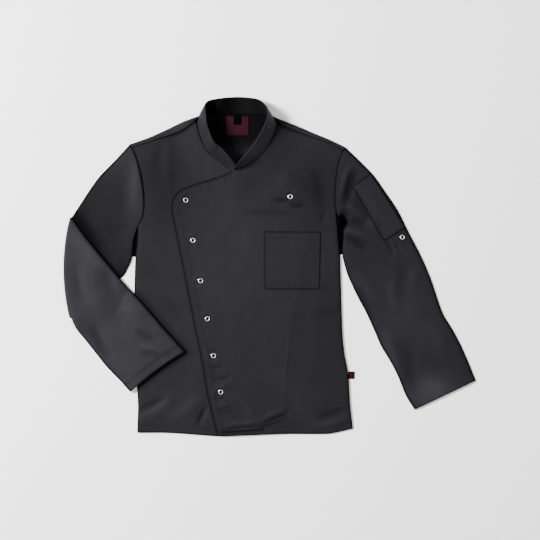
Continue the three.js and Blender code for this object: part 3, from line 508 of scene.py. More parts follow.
def first_layer(x, y):
    """Underside of the layer that lies next to the back."""
    near_side = np.minimum(x - look_up(RIGHT_SIDE, y), look_up(LEFT_SIDE, y) - x)
    roll = mix(1, quarter_round(near_side / ROLL_WIDTH), 1 - smooth(*ARMPIT, y))
    hem = mix(HEM_LOFT, 1, smooth(0, HEM_RISE, y - look_up(HEM, x)))
    near_neck = np.minimum(distance(np.array(RIGHT_NECK), x, y), distance(np.array(LEFT_NECK), x, y))
    lift = NECK_LIFT * (1 - smooth(0, NECK_REACH, near_neck))
    creases = relief(BODY_CREASES, x, y) * roll * smooth(0, 9, near_side)
    return CLOTH + GAP + LOFT * roll * hem + creases * mix(0.5, 1, hem) + lift


def over_layer(x, y):
    """Underside of the crossed front, one layer up where the other front is below it."""
    past = x - look_up(UNDER_REACH, y)
    return first_layer(x, y) + LAYER * (1 - smooth(*STEP_DOWN, past))


# %% [markdown]
# ## A panel of cloth
#
# A cut panel has a free outline, which a grid of quads fits badly. So its points come from a triangular
# lattice inside the outline, with extra rows just inside the edge, for its rounding, and on both sides of
# each line of stitches, for the small valley that the thread pulls. A constrained Delaunay triangulation
# joins them. The same triangles serve the upper and the lower side, and a rim closes the shell all round.

# %% Panels
FINE = 3.2
EDGE_ROWS = (0.3, 0.8, 2.0)
STITCH_ROWS = (-1.1, 0, 1.1)
SHEET = 0.75
SEAM_GROOVE = 0.2
SEAM_SHADE = 0.14
SEAM_REACH = 1.3
EDGE_SHADE = 0.8
EDGE_REACH = 1.6
FOLD_REACH = 5.0


def inside(outline, x, y):
    result = np.zeros(len(x), bool)
    for (ax, ay), (bx, by) in zip(outline, np.roll(outline, -1, axis=0)):
        if ay != by:
            crosses = (ay > y) != (by > y)
            result ^= crosses & (x < (bx - ax) * (y - ay) / (by - ay) + ax)
    return result


def lay_out(outline, spacing, seams=()):
    """Points and triangles inside a closed outline, finer along its edge and along seams."""
    closed = np.vstack([outline, outline[:1]])
    turning = np.sum(closed[:-1, 0] * closed[1:, 1] - closed[1:, 0] * closed[:-1, 1])
    inwards = 1 if turning > 0 else -1

    def clear(points, least):
        away = distance(closed, *points.T)
        return points[(away > least) & inside(outline, *points.T)]

    edge = [clear(moved(closed, row * inwards)[:-1], row * 0.8) for row in EDGE_ROWS]
    sewn = [clear(moved(evenly(seam, 3.0), row), 1.2) for seam in seams for row in STITCH_ROWS]
    low, high = outline.min(0), outline.max(0)
    columns = np.arange(low[0], high[0], spacing)
    rows = np.arange(low[1], high[1], spacing * math.sqrt(0.75))
    x, y = np.meshgrid(columns, rows)
    x = x + (np.arange(len(rows)) % 2 * spacing / 2)[:, None]
    lattice = clear(np.stack([x.ravel(), y.ravel()], axis=1), EDGE_ROWS[-1] + spacing * 0.45)
    if sewn:
        near = kdtree.KDTree(sum(len(line) for line in sewn))
        for i, (px, py) in enumerate(np.vstack(sewn)):
            near.insert((px, py, 0), i)
        near.balance()
        lattice = np.array([p for p in lattice if near.find((*p, 0))[2] > spacing * 0.55])
    points = np.vstack([outline, *edge, *sewn, lattice])
    loop = [(i, (i + 1) % len(outline)) for i in range(len(outline))]
    flat, _, triangles, *_ = geometry.delaunay_2d_cdt([Vector(p) for p in points], loop, [], 1, 1e-4)
    flat = np.array([tuple(p) for p in flat])
    triangles = np.array(triangles)
    a, b, c = (flat[triangles[:, k]] for k in range(3))
    turned = (b[:, 0] - a[:, 0]) * (c[:, 1] - a[:, 1]) - (b[:, 1] - a[:, 1]) * (c[:, 0] - a[:, 0]) < 0
    triangles[turned] = triangles[turned][:, ::-1]
    return flat, triangles


def rim_of(triangles):
    """Edges that only one triangle uses, each in its triangle's direction."""
    pairs = np.concatenate([triangles[:, [0, 1]], triangles[:, [1, 2]], triangles[:, [2, 0]]])
    size = int(triangles.max()) + 1
    there = pairs[:, 0] * size + pairs[:, 1]
    back = pairs[:, 1] * size + pairs[:, 0]
    return pairs[~np.isin(there, back)]


def make_piece(name, points, faces, flat, tone, materials, face_material=None):
    """A smooth mesh from points in millimetres, with the cloth's flat map and its tone."""
    place = np.asarray(points, float) * MM
    place[:, :2] += SHIFT
    mesh = bpy.data.meshes.new(name)
    mesh.from_pydata(place.tolist(), [], [list(map(int, face)) for face in faces])
    for material in materials:
        mesh.materials.append(material)
    if face_material is not None:
        mesh.polygons.foreach_set("material_index", np.asarray(face_material, np.int32))
    mesh.polygons.foreach_set("use_smooth", np.ones(len(mesh.polygons), bool))
    flat_map = mesh.uv_layers.new(name=CLOTH_MAP)
    corners = np.concatenate([np.asarray(face) for face in faces])
    flat_map.data.foreach_set("uv", (flat[corners] * MM).astype(np.float32).ravel())
    layer = mesh.attributes.new("tone", "FLOAT", "POINT")
    layer.data.foreach_set("value", np.broadcast_to(tone, len(place)).astype(np.float32))
    mesh.update()
    piece = bpy.data.objects.new(name, mesh)
    bpy.context.collection.objects.link(piece)
    return piece


def settle(piece):
    """The piece with its modifiers made part of its mesh."""
    bpy.context.view_layer.update()
    evaluated = piece.evaluated_get(bpy.context.evaluated_depsgraph_get())
    mesh = bpy.data.meshes.new_from_object(evaluated)
    old = piece.data
    piece.modifiers.clear()
    piece.data = mesh
    bpy.data.meshes.remove(old)
    mesh.name = piece.name
    return piece


def thickened(piece, thickness):
    """A sheet with its thickness, in millimetres, added on the inside."""
    wall = piece.modifiers.new("wall", "SOLIDIFY")
    wall.thickness = thickness * MM
    wall.offset = -1
    return settle(piece)


def grid_faces(rows, columns, closed=False, first=0):
    """Quads between rows of points. A closed grid joins its last column to its first one."""
    faces = []
    for start in range(first, first + (rows - 1) * columns, columns):
        for k in range(columns if closed else columns - 1):
            after = (k + 1) % columns
            faces.append([start + k, start + after, start + columns + after, start + columns + k])
    return faces


def turned_outwards(points, faces):
    """The quads of a closed surface, all turned over if they enclose less than nothing."""
    faces = np.array(faces)
    p = (points - points.mean(0))[faces]
    halves = ((0, 1, 2), (0, 2, 3))
    volume = sum(np.einsum("ij,ij->i", p[:, i], np.cross(p[:, j], p[:, k])).sum() for i, j, k in halves)
    return faces[:, ::-1] if volume < 0 else faces


def shell(name, outline, top, thickness=SHEET, seams=(), tone=1.0, materials=(), spacing=FINE, ease=None):
    """A panel between its top and the thickness below it, with a rounded rim."""
    flat, triangles = lay_out(outline, spacing, seams)
    x, y = flat.T
    away = distance(np.vstack([outline, outline[:1]]), x, y)
    height = top(x, y)
    # Painted shade along the panel's outline and beside each line of stitches
    seam_shade = 1 - EDGE_SHADE * np.exp(-((away / EDGE_REACH) ** 2))
    for seam in seams:
        near = np.exp(-((beside(evenly(seam, 6), x, y)[0] / SEAM_REACH) ** 2))
        height = height - SEAM_GROOVE * near
        seam_shade = np.minimum(seam_shade, 1 - SEAM_SHADE * near)
    if ease is not None:
        height = height + ease(x, y)
    thick = np.broadcast_to(thickness(x, y) if callable(thickness) else thickness, len(x))
    half_thick = thick / 2
    round_off = half_thick * (1 - quarter_round(away / half_thick))
    upper = np.column_stack([x, y, height - round_off])
    lower = np.column_stack([x, y, height - thick + round_off])
    size = len(flat)
    rim = rim_of(triangles)
    walls = np.column_stack([rim[:, 1], rim[:, 0], rim[:, 0] + size, rim[:, 1] + size])
    faces = [*triangles.tolist(), *(triangles[:, ::-1] + size).tolist(), *walls.tolist()]
    shade = (tone(x, y) if callable(tone) else np.full(size, tone)) * seam_shade
    return make_piece(name, np.vstack([upper, lower]), faces, np.vstack([flat, flat]),
                      np.concatenate([shade, shade]), materials)


# %% [markdown]
# ## The two fronts
#
# The wearer's right front lies below. Its edge passes under the other one, so only its shoulder, side and
# lower corner show. The left front lies on top, and its edge runs from the collar in a rounded step and
# then aslant down to the hem. Edges that are turned in and sewn are thicker than the single cloth, and a
# seam pulls the cloth down on both sides; that dip and painted shade along the edges and seams draw the
# dark line there.

# %% Lines of the fronts
def side_line(rows, low, high):
    y = np.arange(low, high, 2.5)
    return np.column_stack([look_up(rows, y), y])


def hem_line(start, end):
    x = np.arange(start, end, 2.5 if end > start else -2.5)
    return np.column_stack([x, look_up(HEM, x)])


right_armhole = curve(RIGHT_ARMHOLE)
left_armhole = curve(LEFT_ARMHOLE)
right_front_armhole = right_armhole[right_armhole[:, 1] < RIGHT_SHOULDER[0][1] - 1]
left_front_armhole = left_armhole[left_armhole[:, 1] < LEFT_SHOULDER[0][1] - 1]
right_shoulder, left_shoulder = curve(RIGHT_SHOULDER), curve(LEFT_SHOULDER)
right_neck, left_neck = curve(RIGHT_NECK), curve(LEFT_NECK)
closure = curve(CLOSURE)
HEM_STITCH = 15.5
CLOSURE_STITCHES = (6.5, 15.5)
ARMHOLE_STITCH = 5.5
CLOSURE_SNAPS = [(-200.6, 159.5), (-183.6, 63.2), (-165.1, -33.5), (-148.8, -124.7), (-134.2, -213.2),
                 (-116.9, -300.1)]
CHEST_SNAP = (49.9, 167.9)
SLEEVE_SNAP = (318, 70.7)
# How far the shade of a fastener's foot lies from its middle, how wide it is and how dark
SNAP_SHADE = (6.8, 1.7, 0.6)
# Reach and darkness of the shade beside seams and edges
ARMHOLE_SHADE = (2.4, 0.4)
SIDE_SHADE = (2.8, 0.8)
HEM_SHADE = (2.2, 0.7)
# Painted light and shade in soft patches: x, y, half width, half height, change of tone
LIGHT_AND_SHADE_PATCHES = [(-255, 215, 62, 120, -0.34), (112, 190, 70, 90, -0.28), (-70, 0, 120, 150, 0.12),
       (150, -150, 60, 170, -0.14), (-240, -330, 70, 60, 0.05), (-20, -330, 90, 60, -0.06),
       (212, 150, 30, 66, -0.3), (250, 45, 50, 50, -0.12), (320, -130, 56, 90, 0.22),
       (394, -306, 62, 40, 0.85), (-290, -60, 40, 120, -0.1)]


def painted_patches(x, y):
    """Painted light and shade in broad soft patches over the whole garment."""
    tone = np.ones(len(x))
    for cx, cy, wide, tall, change in LIGHT_AND_SHADE_PATCHES:
        tone *= 1 + change * np.exp(-(((x - cx) / wide) ** 2) - ((y - cy) / tall) ** 2)
    return tone


def fastener_shadows(x, y):
    """Painted shadow: a thin dark ring where each fastener meets the cloth."""
    tone = np.ones(len(x))
    radius, width, dark = SNAP_SHADE
    for cx, cy in (*CLOSURE_SNAPS, CHEST_SNAP, SLEEVE_SNAP):
        tone *= 1 - dark * np.exp(-(((np.hypot(x - cx, y - cy) - radius) / width) ** 2))
    return tone


def sewn_down(lines, x, y, depth, width):
    """Cloth near seam lines sinks towards them."""
    away = np.min([distance(line, x, y) for line in lines], axis=0)
    return -depth * np.exp(-((away / width) ** 2))


def seam_ease(armhole, shoulder, neck, x, y):
    """How a front sinks towards its sewn edges, least at the collar."""
    return sewn_down([armhole, shoulder], x, y, 0.6, 2.4) + sewn_down([neck], x, y, 0.2, 3.0)


def shaded_by(line, x, y, reach, dark):
    """Tone of cloth that lies in the shade of an edge above it."""
    return 1 - dark * np.exp(-((distance(line, x, y) / reach) ** 2))


def collar_shade(neck, x, y):
    """Shade at the foot of the collar, which gives way to a light edge where the fronts cross."""
    return shaded_by(curve(neck, 4), x, y, 1.8, mix(-1.8, 0.6, smooth(245, 325, y)))


def rim_shade(side, hem, x, y):
    """Shade that rounds the cloth off along its side seam and hem."""
    return shaded_by(side, x, y, *SIDE_SHADE) * shaded_by(hem, x, y, *HEM_SHADE)


# %% Front under
UNDER_HEM_END = -126
under_outline = np.vstack([
    side_line(RIGHT_SIDE, -397.5, 97), right_front_armhole[::-1][:-1], right_shoulder[:-1], right_neck[:-1],
    curve(UNDER_EDGE, 5), hem_line(UNDER_HEM_END, -317)])
under_hem_stitch = hem_line(-310, UNDER_HEM_END + 20) + (0, HEM_STITCH)
right_armhole_stitch = moved(right_front_armhole, ARMHOLE_STITCH)[3:-2]
under_seams = [under_hem_stitch, right_armhole_stitch]


def turned_hem(x, y, extra=0.55):
    """The doubled cloth of a hem, up to its line of stitches."""
    return extra * (1 - smooth(HEM_STITCH - 1.5, HEM_STITCH + 1.5, y - look_up(HEM, x)))


FOREARM_EDGE = [(-474.5, 118.5), (-442.8, 75), (-414, 39.6), (-382.8, 1.8), (-352.8, -34.2), (-324, -65.4),
                (-296.4, -95.4), (-274.8, -120.6), (-255.6, -142.9), (-236.4, -164.5), (-218.4, -184.2),
                (-201.4, -202.7), (-255, -240), (-333.6, -300.6)]
forearm_edge = evenly(FOREARM_EDGE, 4)


# Painted shade cast by the forearm, beside the closure's edge, at the collar's foot, along the seams and
# round the rim, with painted light and shade in patches and creases
def under_tone(x, y):
    by_arm = shaded_by(forearm_edge, x, y, 12, 0.5)
    by_closure = shaded_by(curve(CLOSURE, 4), x, y, 2.4, 0.75)
    by_seams = shaded_by(right_front_armhole, x, y, *ARMHOLE_SHADE)
    by_seams *= shaded_by(right_shoulder, x, y, mix(2.6, 7, smooth(-290, -220, x)), 0.94)
    outer = rim_shade(side_line(RIGHT_SIDE, -397.5, 97), hem_line(-320, -120), x, y)
    shade = by_arm * by_closure * collar_shade(RIGHT_NECK, x, y) * by_seams * outer
    return shade * painted_patches(x, y) * crease_tone(BODY_CREASES, x, y)


def under_ease(x, y):
    return seam_ease(right_front_armhole, right_shoulder, right_neck, x, y)


front_under = shell("front_under_cloth", under_outline, lambda x, y: first_layer(x, y) + CLOTH,
                    thickness=lambda x, y: SHEET + turned_hem(x, y), seams=under_seams,
                    ease=under_ease, tone=under_tone, materials=[twill])
print("front_under:", len(front_under.data.polygons), "faces")

# %% Front over
over_outline = np.vstack([
    closure[:-1], left_neck[:-1], left_shoulder[::-1][:-1], left_front_armhole,
    side_line(LEFT_SIDE, -388, 126)[::-1], hem_line(198, -121)])
over_hem_stitch = hem_line(-108, 194) + (0, HEM_STITCH)
left_armhole_stitch = moved(left_front_armhole, -ARMHOLE_STITCH)[3:-2]
closure_stitches = [moved(closure, -inset)[2:-3] for inset in CLOSURE_STITCHES]
over_seams = [over_hem_stitch, left_armhole_stitch, *closure_stitches]
PLACKET_RIPPLES = [
    ([(-146, -196), (-138, -202), (-120, -198)], 3, 4, -1.4),
    ([(-144, -208), (-134, -213), (-120, -210)], 3, 3, 0.9),
    ([(-142, -222), (-132, -228), (-114, -226)], 3, 4, 1.3),
    ([(-140, -236), (-130, -244), (-108, -240)], 3, 4, -1.2),
    ([(-138, -266), (-120, -272), (-90, -262)], 3, 4, -1.8),
    ([(-136, -280), (-120, -288), (-98, -284)], 3, 4, 1.4),
    ([(-134, -308), (-120, -318), (-104, -312)], 3, 4, -1.6),
    ([(-130, -324), (-112, -334), (-92, -328)], 4, 4, 1.4),
    ([(-126, -340), (-104, -352), (-84, -350)], 4, 4, -1.2),
    ([(-86, -318), (-66, -336), (-44, -352)], 5, 6, -1.2),
    ([(-152, -160), (-142, -168), (-130, -164)], 3, 4, 0.8),
    ([(-160, -120), (-146, -128), (-134, -126)], 3, 4, -0.7),
    ([(-168, 202), (-162, 194), (-158, 186)], 3, 3, -0.6),
    ([(-150, 208), (-142, 200), (-136, 192)], 3, 3, -0.9),
    ([(-138, 212), (-131, 204), (-126, 197)], 2.5, 3, -0.7),
    ([(-128, 216), (-120, 207), (-114, 199)], 3, 3, -0.9),
    ([(-112, 221), (-104, 212), (-98, 204)], 3, 3, -0.9),
    ([(-98, 226), (-92, 218), (-88, 210)], 2.5, 3, -0.7),
    ([(4, 164), (28, 158), (48, 160)], 7, 9, -0.9),
    ([(42, 152), (64, 145), (88, 149)], 7, 9, -0.9),
    ([(56, 178), (70, 184), (84, 184)], 4, 5, 0.8),
    ([(-108, -392), (-60, -388), (-12, -386)], 4, 4, -1.8),
    ([(-112, -380), (-64, -376), (-8, -370)], 6, 6, 1.8),
]


def snap_dents(x, y):
    """Each fastener presses a dent and gathers the cloth round it."""
    total = np.zeros(len(x))
    for i, (cx, cy) in enumerate([*CLOSURE_SNAPS, CHEST_SNAP]):
        far = np.hypot(x - cx, y - cy)
        round_about = np.arctan2(y - cy, x - cx)
        gathers = 1 + 0.7 * np.cos(3 * round_about + 1.9 * i)
        total += 0.45 * gathers * np.exp(-(((far - 13) / 5) ** 2)) - 0.5 * np.exp(-((far / 8) ** 2))
    return total


FACING_THICK = 0.95
FACING_END = (14, 17)
FACING_RISE = 0.5
RISE_END = (15.5, 20)


def faced_edge(x, y):
    """The crossed edge has a turned-in facing below it."""
    return FACING_THICK * (1 - smooth(*FACING_END, distance(closure, x, y)))


def over_ease(x, y):
    sewn = seam_ease(left_front_armhole, left_shoulder, left_neck, x, y)
    raised = FACING_RISE * (1 - smooth(*RISE_END, distance(closure, x, y)))
    return sewn + relief(PLACKET_RIPPLES, x, y) + snap_dents(x, y) + raised


def over_top(x, y):
    return over_layer(x, y) + CLOTH + over_ease(x, y)


CHEST_POCKET = [(-12, 84), (-12, -48), (-7, -53.5), (115, -53), (120, -47), (122.5, 83)]


def corner_line(points, step=2.5):
    return np.vstack([evenly(points[i:i + 2], step)[:-1] for i in range(len(points) - 1)])


pocket_outline = corner_line([*CHEST_POCKET, CHEST_POCKET[0]])


# Painted shade along the rolled hem and along the tucks at the hem and at the chest fastener: a line, its
# reach and darkness
TUCK_SHADOWS = [
    ([(-114, -397), (-66, -394), (-16, -390)], 3.4, 0.75),
    ([(-20, -384), (8, -376), (40, -362)], 3.0, 0.5),
    ([(20, 161), (30, 158.5), (41, 160)], 5.2, 0.34),
    ([(54, 148.5), (64, 146), (76, 148)], 5.2, 0.3),
]


# Painted shade along the armhole, shoulder, collar, pocket, rim and tucks, round the fasteners and in
# creases, with painted light and shade in patches
def over_tone(x, y):
    shade = shaded_by(left_front_armhole, x, y, *ARMHOLE_SHADE)
    shade *= shaded_by(left_shoulder, x, y, mix(5.5, 2.8, smooth(30, 110, x)), 0.92)
    shade *= collar_shade(LEFT_NECK, x, y) * shaded_by(pocket_outline, x, y, 1.7, 0.4)
    shade *= rim_shade(side_line(LEFT_SIDE, -388, 126), hem_line(-122, 200), x, y)
    for line, reach, dark in TUCK_SHADOWS:
        shade *= shaded_by(curve(line), x, y, reach, dark)
    creased = crease_tone(BODY_CREASES, x, y) * crease_tone(PLACKET_RIPPLES, x, y)
    return shade * creased * fastener_shadows(x, y) * painted_patches(x, y)


front_over = shell("front_over_cloth", over_outline, over_top,
                   thickness=lambda x, y: SHEET + turned_hem(x, y) + faced_edge(x, y), seams=over_seams,
                   tone=over_tone, materials=[twill])
print("front_over:", len(front_over.data.polygons), "faces")

# %% [markdown]
# ## The back
#
# The back lies on the floor below everything and folds forward over both shoulders, where it is sewn to the
# fronts a little in front of the fold. So it is one sheet: a flat part, with the same kind of triangles as
# the fronts, and at each shoulder a strip that rolls over the fold, joined to it point by point. Solidify
# gives the sheet its thickness, towards the inside. Inside the neck the tone paints the cloth near black,
# both for a black facing sewn on there and for the shade inside the neck.

# %% Back
SHOULDER_RISE = 0.05
ROLL_TURNS = 12
STRIP_POINTS = 72
SEAM_LAP = 1.3
BACK_SHEET = 0.72
NECK_CENTRE = (-78, 352)
# How dark the tone paints the neck, for a black facing and for the shade inside the neck
FACING_AND_SHADE_DARK = 0.78
WEB_CENTRES = [(-325, 50), (172, 60)]


def shoulder_strip(fold, seam):
    """Rows of points from the flat back, round the shoulder fold, to just past the shoulder seam."""
    parts = np.linspace(0, 1, STRIP_POINTS)
    lines = []
    for table in (fold, seam):
        line = curve(table, 1.0)
        far = walked(line) / walked(line)[-1]
        lines.append(np.stack([np.interp(parts, far, line[:, k]) for k in (0, 1)], axis=1))
    start, end = lines
    inwards = end - start
    reach = np.linalg.norm(inwards, axis=1)
    inwards /= reach[:, None]
    high = first_layer(*end.T) + CLOTH + SHOULDER_RISE
    radius = high / 2
    rows = []
    for turn in np.linspace(0, math.pi, ROLL_TURNS):
        rows.append((radius * (1 - math.sin(turn)), radius * (1 - math.cos(turn))))
    for share in np.linspace(0, 1, 9)[1:]:
        rows.append((mix(radius, reach + SEAM_LAP, share), high + 0.25 * math.sin(math.pi * share)))
    return [np.column_stack([start + inwards * along[:, None], np.broadcast_to(z, len(start))])
            for along, z in rows]


def back_tone(x, y):
    """Painted near-black round the neck, both a black facing and the shade inside it, and painted deep shade
    in the webs below the arms.
    """
    from_neck = np.hypot((x - NECK_CENTRE[0]) / 1.1, (y - NECK_CENTRE[1]) / 0.8)
    facing_and_shade = 1 - FACING_AND_SHADE_DARK * (1 - smooth(58, 125, from_neck))
    from_web = np.min([np.hypot(x - cx, (y - cy) / 4.5) for cx, cy in WEB_CENTRES], axis=0)
    return facing_and_shade * mix(0.12, 1, smooth(11, 20, from_web))


# Soft creases pressed up into the back, for the side that lies on the floor
BACK_CREASES = [
    ([(-250, 70), (-180, 16), (-96, -14)], 12, 18, 0.9),
    ([(126, 56), (70, 4), (8, -20)], 16, 12, 0.8),
    ([(-66, -90), (-50, -190), (-74, -290)], 18, 12, 0.9),
    ([(92, -150), (104, -230), (86, -310)], 14, 16, 0.8),
    ([(-228, 196), (-150, 172), (-66, 184)], 14, 18, 0.7),
    ([(-262, -180), (-236, -240), (-200, -290)], 16, 12, 0.8),
    ([(20, 190), (70, 160), (124, 150)], 12, 16, 0.7),
]


def make_back():
    strips = [shoulder_strip(RIGHT_FOLD, [*RIGHT_SHOULDER, STRIP_ENDS[0]]),
              shoulder_strip(LEFT_FOLD, [*LEFT_SHOULDER, STRIP_ENDS[1]])]
    right_start, left_start = strips[0][0][:, :2], strips[1][0][:, :2]
    right_hole = right_armhole[right_armhole[:, 1] < right_start[0, 1] - 1][::-1]
    left_hole = left_armhole[left_armhole[:, 1] < left_start[0, 1] - 1]
    outline = np.vstack([
        side_line(RIGHT_SIDE, -394, 26) + (0.5, 0), RIGHT_WEB, right_hole, right_start, curve(BACK_NECK),
        left_start[::-1], left_hole, LEFT_WEB, side_line(LEFT_SIDE, -384, 30)[::-1] - (0.5, 0),
        hem_line(196, -315) + (0, 2)])
    flat, triangles = lay_out(outline, FINE * 1.5)
    points = [np.column_stack([flat, relief(BACK_CREASES, *flat.T)])]
    faces = triangles[:, ::-1].tolist()
    maps = [flat]
    for number, strip in enumerate(strips):
        grid = np.array(strip)
        quads = grid_faces(*grid.shape[:2], first=sum(len(part) for part in points))
        faces += quads if number == 1 else [face[::-1] for face in quads]
        points.append(grid.reshape(-1, 3))
        far = walked(grid[:, 0])[:, None] + np.zeros(grid.shape[1])
        rolled_out = grid[0, :, :2] + np.stack([np.zeros_like(far), far], axis=2)
        maps.append(rolled_out.reshape(-1, 2))
    points = np.vstack(points)
    back = make_piece("back_cloth", points, faces, np.vstack(maps), back_tone(*points[:, :2].T), [twill])
    weld = back.modifiers.new("weld", "WELD")
    weld.merge_threshold = 0.0001
    return thickened(back, BACK_SHEET)


back = make_back()
print("back:", len(back.data.polygons), "faces")

# %% [markdown]
# ## The sleeves
#
# A sleeve is a tube pressed flat. Each cross-section runs from the outer fold to the inner fold over the
# top and back below, and its rise follows the CAD model's crown. The sections are read smoothly between the
# rows of the pattern. At the armhole the tube takes the curve of the seam, dips, and runs on as a narrow
# allowance between the back and the front, as a sewn sleeve does, so that no light comes through the seam.
#
# The other sleeve is folded at the elbow: its sections turn over about the fold, and the forearm then lies
# on the upper arm and on the body with its back side up.

# %% Sleeve tables
LEFT_SLEEVE = [
    (181, 287.5, 161, 128.3, 5.2), (212.4, 257.4, 171.6, 93, 5.2), (248.4, 220.7, 174, 54.6, 5.2),
    (277.2, 180.6, 175, 25, 5.2), (308.4, 133.8, 184.6, -12.1, 5.2), (334, 82.4, 196.8, -41.4, 5.2),
    (363.6, 25.8, 213.4, -76, 5), (386.4, -27, 231.6, -109.8, 5), (402, -73.3, 250.8, -151.8, 4.8),
    (416.4, -112.7, 267.6, -190.2, 4.8), (438.5, -149.4, 289.2, -226.2, 4.8),
    (458.2, -186.1, 307.2, -261, 4.6), (477.6, -229.8, 326.4, -307.8, 4.6),
    (494.9, -273, 348, -342.8, 4.6)]
RIGHT_UPPER_ARM = [
    (-334, 295, -318, 98, 5.2, 0), (-366.7, 259.3, -327, 62, 5.2, 0), (-408, 216.6, -329.5, 22, 5.2, 0),
    (-422, 198, -341, -6, 4.8, 0), (-434.5, 179.9, -356, -27, 4.4, 0), (-457, 145.5, -414, -77.4, 4.4, 4),
    (-474.5, 118.5, -475.5, -123, 4.4, 14.5)]
RIGHT_FOREARM = [
    (-474.5, 118.5, -475.5, -123, 4.4, 14.5), (-442.8, 75, -463.2, -149.4, 5.2, 9),
    (-414, 39.6, -444, -173.4, 5.2, 4), (-382.8, 1.8, -426, -196.2, 5.2, 1),
    (-352.8, -34.2, -408, -219, 5.2, 0), (-324, -65.4, -392.4, -238.2, 5.2, 0),
    (-296.4, -95.4, -379.2, -252.6, 5.2, 0), (-274.8, -120.6, -367.2, -264.6, 5.2, 0),
    (-255.6, -142.9, -355.2, -276.6, 5.2, 1), (-236.4, -164.5, -346.8, -286.2, 5.2, 2),
    (-218.4, -184.2, -339.6, -294, 5.2, 4), (-201.4, -202.7, -333.6, -300.6, 5.2, 5)]
LEFT_ARM_CREASES = [
    ([(203, 252), (186, 222), (177, 186), (170, 150)], 7, 8, 1.9),
    ([(216, 234), (200, 202), (190, 168), (180, 142)], 8, 16, -3.0),
    ([(174, 138), (186, 124), (180, 108)], 9, 11, -2.6),
    ([(182, 148), (206, 138), (230, 118)], 7, 8, 2.3),
    ([(182, 92), (208, 82), (246, 70)], 6, 7, 2.6),
    ([(182, 74), (208, 62), (240, 42)], 8, 9, -2.9),
    ([(192, 112), (214, 108), (236, 98)], 7, 7, -1.8),
    ([(236, 112), (250, 104), (268, 98)], 7, 8, 1.2),
    ([(282, 64), (292, 44), (298, 26)], 5, 6, -1.6),
    ([(300, 64), (308, 46), (313, 30)], 5, 4, -1.0),
    ([(200, -10), (230, -40), (262, -92)], 14, 12, 1.2),
    ([(210, -46), (232, -84), (250, -132)], 10, 12, -1.6),
    ([(334, 18), (322, -24), (316, -84)], 14, 18, -1.2),
    ([(352, 6), (346, -30), (350, -64)], 12, 12, 0.8),
    ([(300, -20), (296, -60), (306, -110)], 12, 12, 1.0),
    ([(280, -140), (296, -206), (322, -280)], 13, 20, 1.7),
    ([(334, -170), (340, -240), (350, -312)], 14, 20, -1.4),
    ([(366, -270), (396, -286), (430, -296)], 22, 16, 1.4),
    ([(380, -120), (404, -170), (430, -220)], 20, 20, 0.9),
]
UPPER_ARM_CREASES = [
    ([(-312, 282), (-317, 200), (-318, 116)], 26, 14, 2.3),
    ([(-352, 240), (-350, 180), (-352, 110)], 20, 16, -1.2),
    ([(-462, 132), (-430, 96), (-398, 56), (-366, 14)], 16, 10, -2.4),
    ([(-360, 92), (-342, 66), (-334, 36)], 12, 10, 0.5),
    ([(-330, 100), (-352, 92), (-372, 96)], 6, 8, -0.9),
    ([(-404, 190), (-388, 140), (-384, 90)], 22, 24, 0.7),
    ([(-356, 20), (-346, -4), (-358, -24)], 8, 8, -1.2),
]
FOREARM_CREASES = [
    ([(-470, 84), (-440, 52), (-410, 18), (-384, -16)], 24, 18, 2.5),
    ([(-466, 14), (-458, -34), (-446, -96)], 12, 18, -1.7),
    ([(-440, 30), (-428, -30), (-420, -100)], 20, 26, 1.0),
    ([(-400, 4), (-382, -40), (-366, -84)], 12, 20, -1.9),
    ([(-350, -70), (-330, -96), (-300, -120)], 14, 14, 1.3),
    ([(-424, -136), (-406, -180), (-378, -222)], 12, 14, -2.6),
    ([(-372, -106), (-340, -104), (-312, -112)], 6, 7, 0.8),
    ([(-318, -152), (-292, -168), (-262, -178)], 8, 7, -2.8),
    ([(-306, -190), (-274, -196), (-238, -212)], 5, 6, 2.2),
    ([(-312, -204), (-282, -210), (-246, -222)], 5, 6, -2.0),
    ([(-356, -256), (-344, -264), (-330, -266)], 5, 5, -0.9),
    ([(-420, -60), (-396, -130), (-356, -190)], 24, 24, 1.4),
]

# %% Pressed tubes
FIRST_STEPS = (0, 0.15, 0.45, 0.9, 1.6, 2.8, 4.6, 7.2, 10.5)
WIDE = 188
CROWN_POWER = 8
FOLD_ROUNDING = 1.3
FOLD_SHADE = 0.92
LEAST_RISE = 0.1
SLEEVE_SHEET = 0.62
# Rings of the seam allowance: depth, height on top, height below, share of the pull towards the middle
ALLOWANCE = [(5.0, 2.5, 1.0, 1.0), (1.4, 2.7, 0.95, 0.5)]
ALLOWANCE_PULL = 18


def share_across():
    edge = np.array(FIRST_STEPS) / WIDE
    middle = np.linspace(edge[-1], 1 - edge[-1], 48)[1:-1]
    return np.concatenate([edge, middle, 1 - edge[::-1]])


ACROSS = share_across()
TOP_THEN_BELOW = np.concatenate([ACROSS, ACROSS[-2:0:-1]])
ON_TOP = np.arange(len(TOP_THEN_BELOW)) < len(ACROSS)
STEPS = 12


def crown(u):
    return np.sqrt(1 - np.abs(2 * u - 1) ** CROWN_POWER)


def bowed(start, end, bow, u):
    """Points at the shares u of the way from start to end, bowed to the side."""
    across = (end - start) / np.linalg.norm(end - start)
    bow = bow * 4 * u * (1 - u)
    return start + (end - start) * u[:, None] + np.column_stack([across[1] * bow, -across[0] * bow])


def bow_of(row):
    return row[5] if len(row) > 5 else 0


def plan_of(row, u):
    """Points from a section's outer edge to its inner edge."""
    return bowed(np.array(row[:2]), np.array(row[2:4]), bow_of(row), u)


def fold_rounding(width, u):
    """From 0 at a section's folded edges to 1 a little way in."""
    return quarter_round(np.minimum(u, 1 - u) * width / FOLD_ROUNDING)


def width_of(row):
    return np.linalg.norm(np.array(row[2:4]) - np.array(row[:2]))


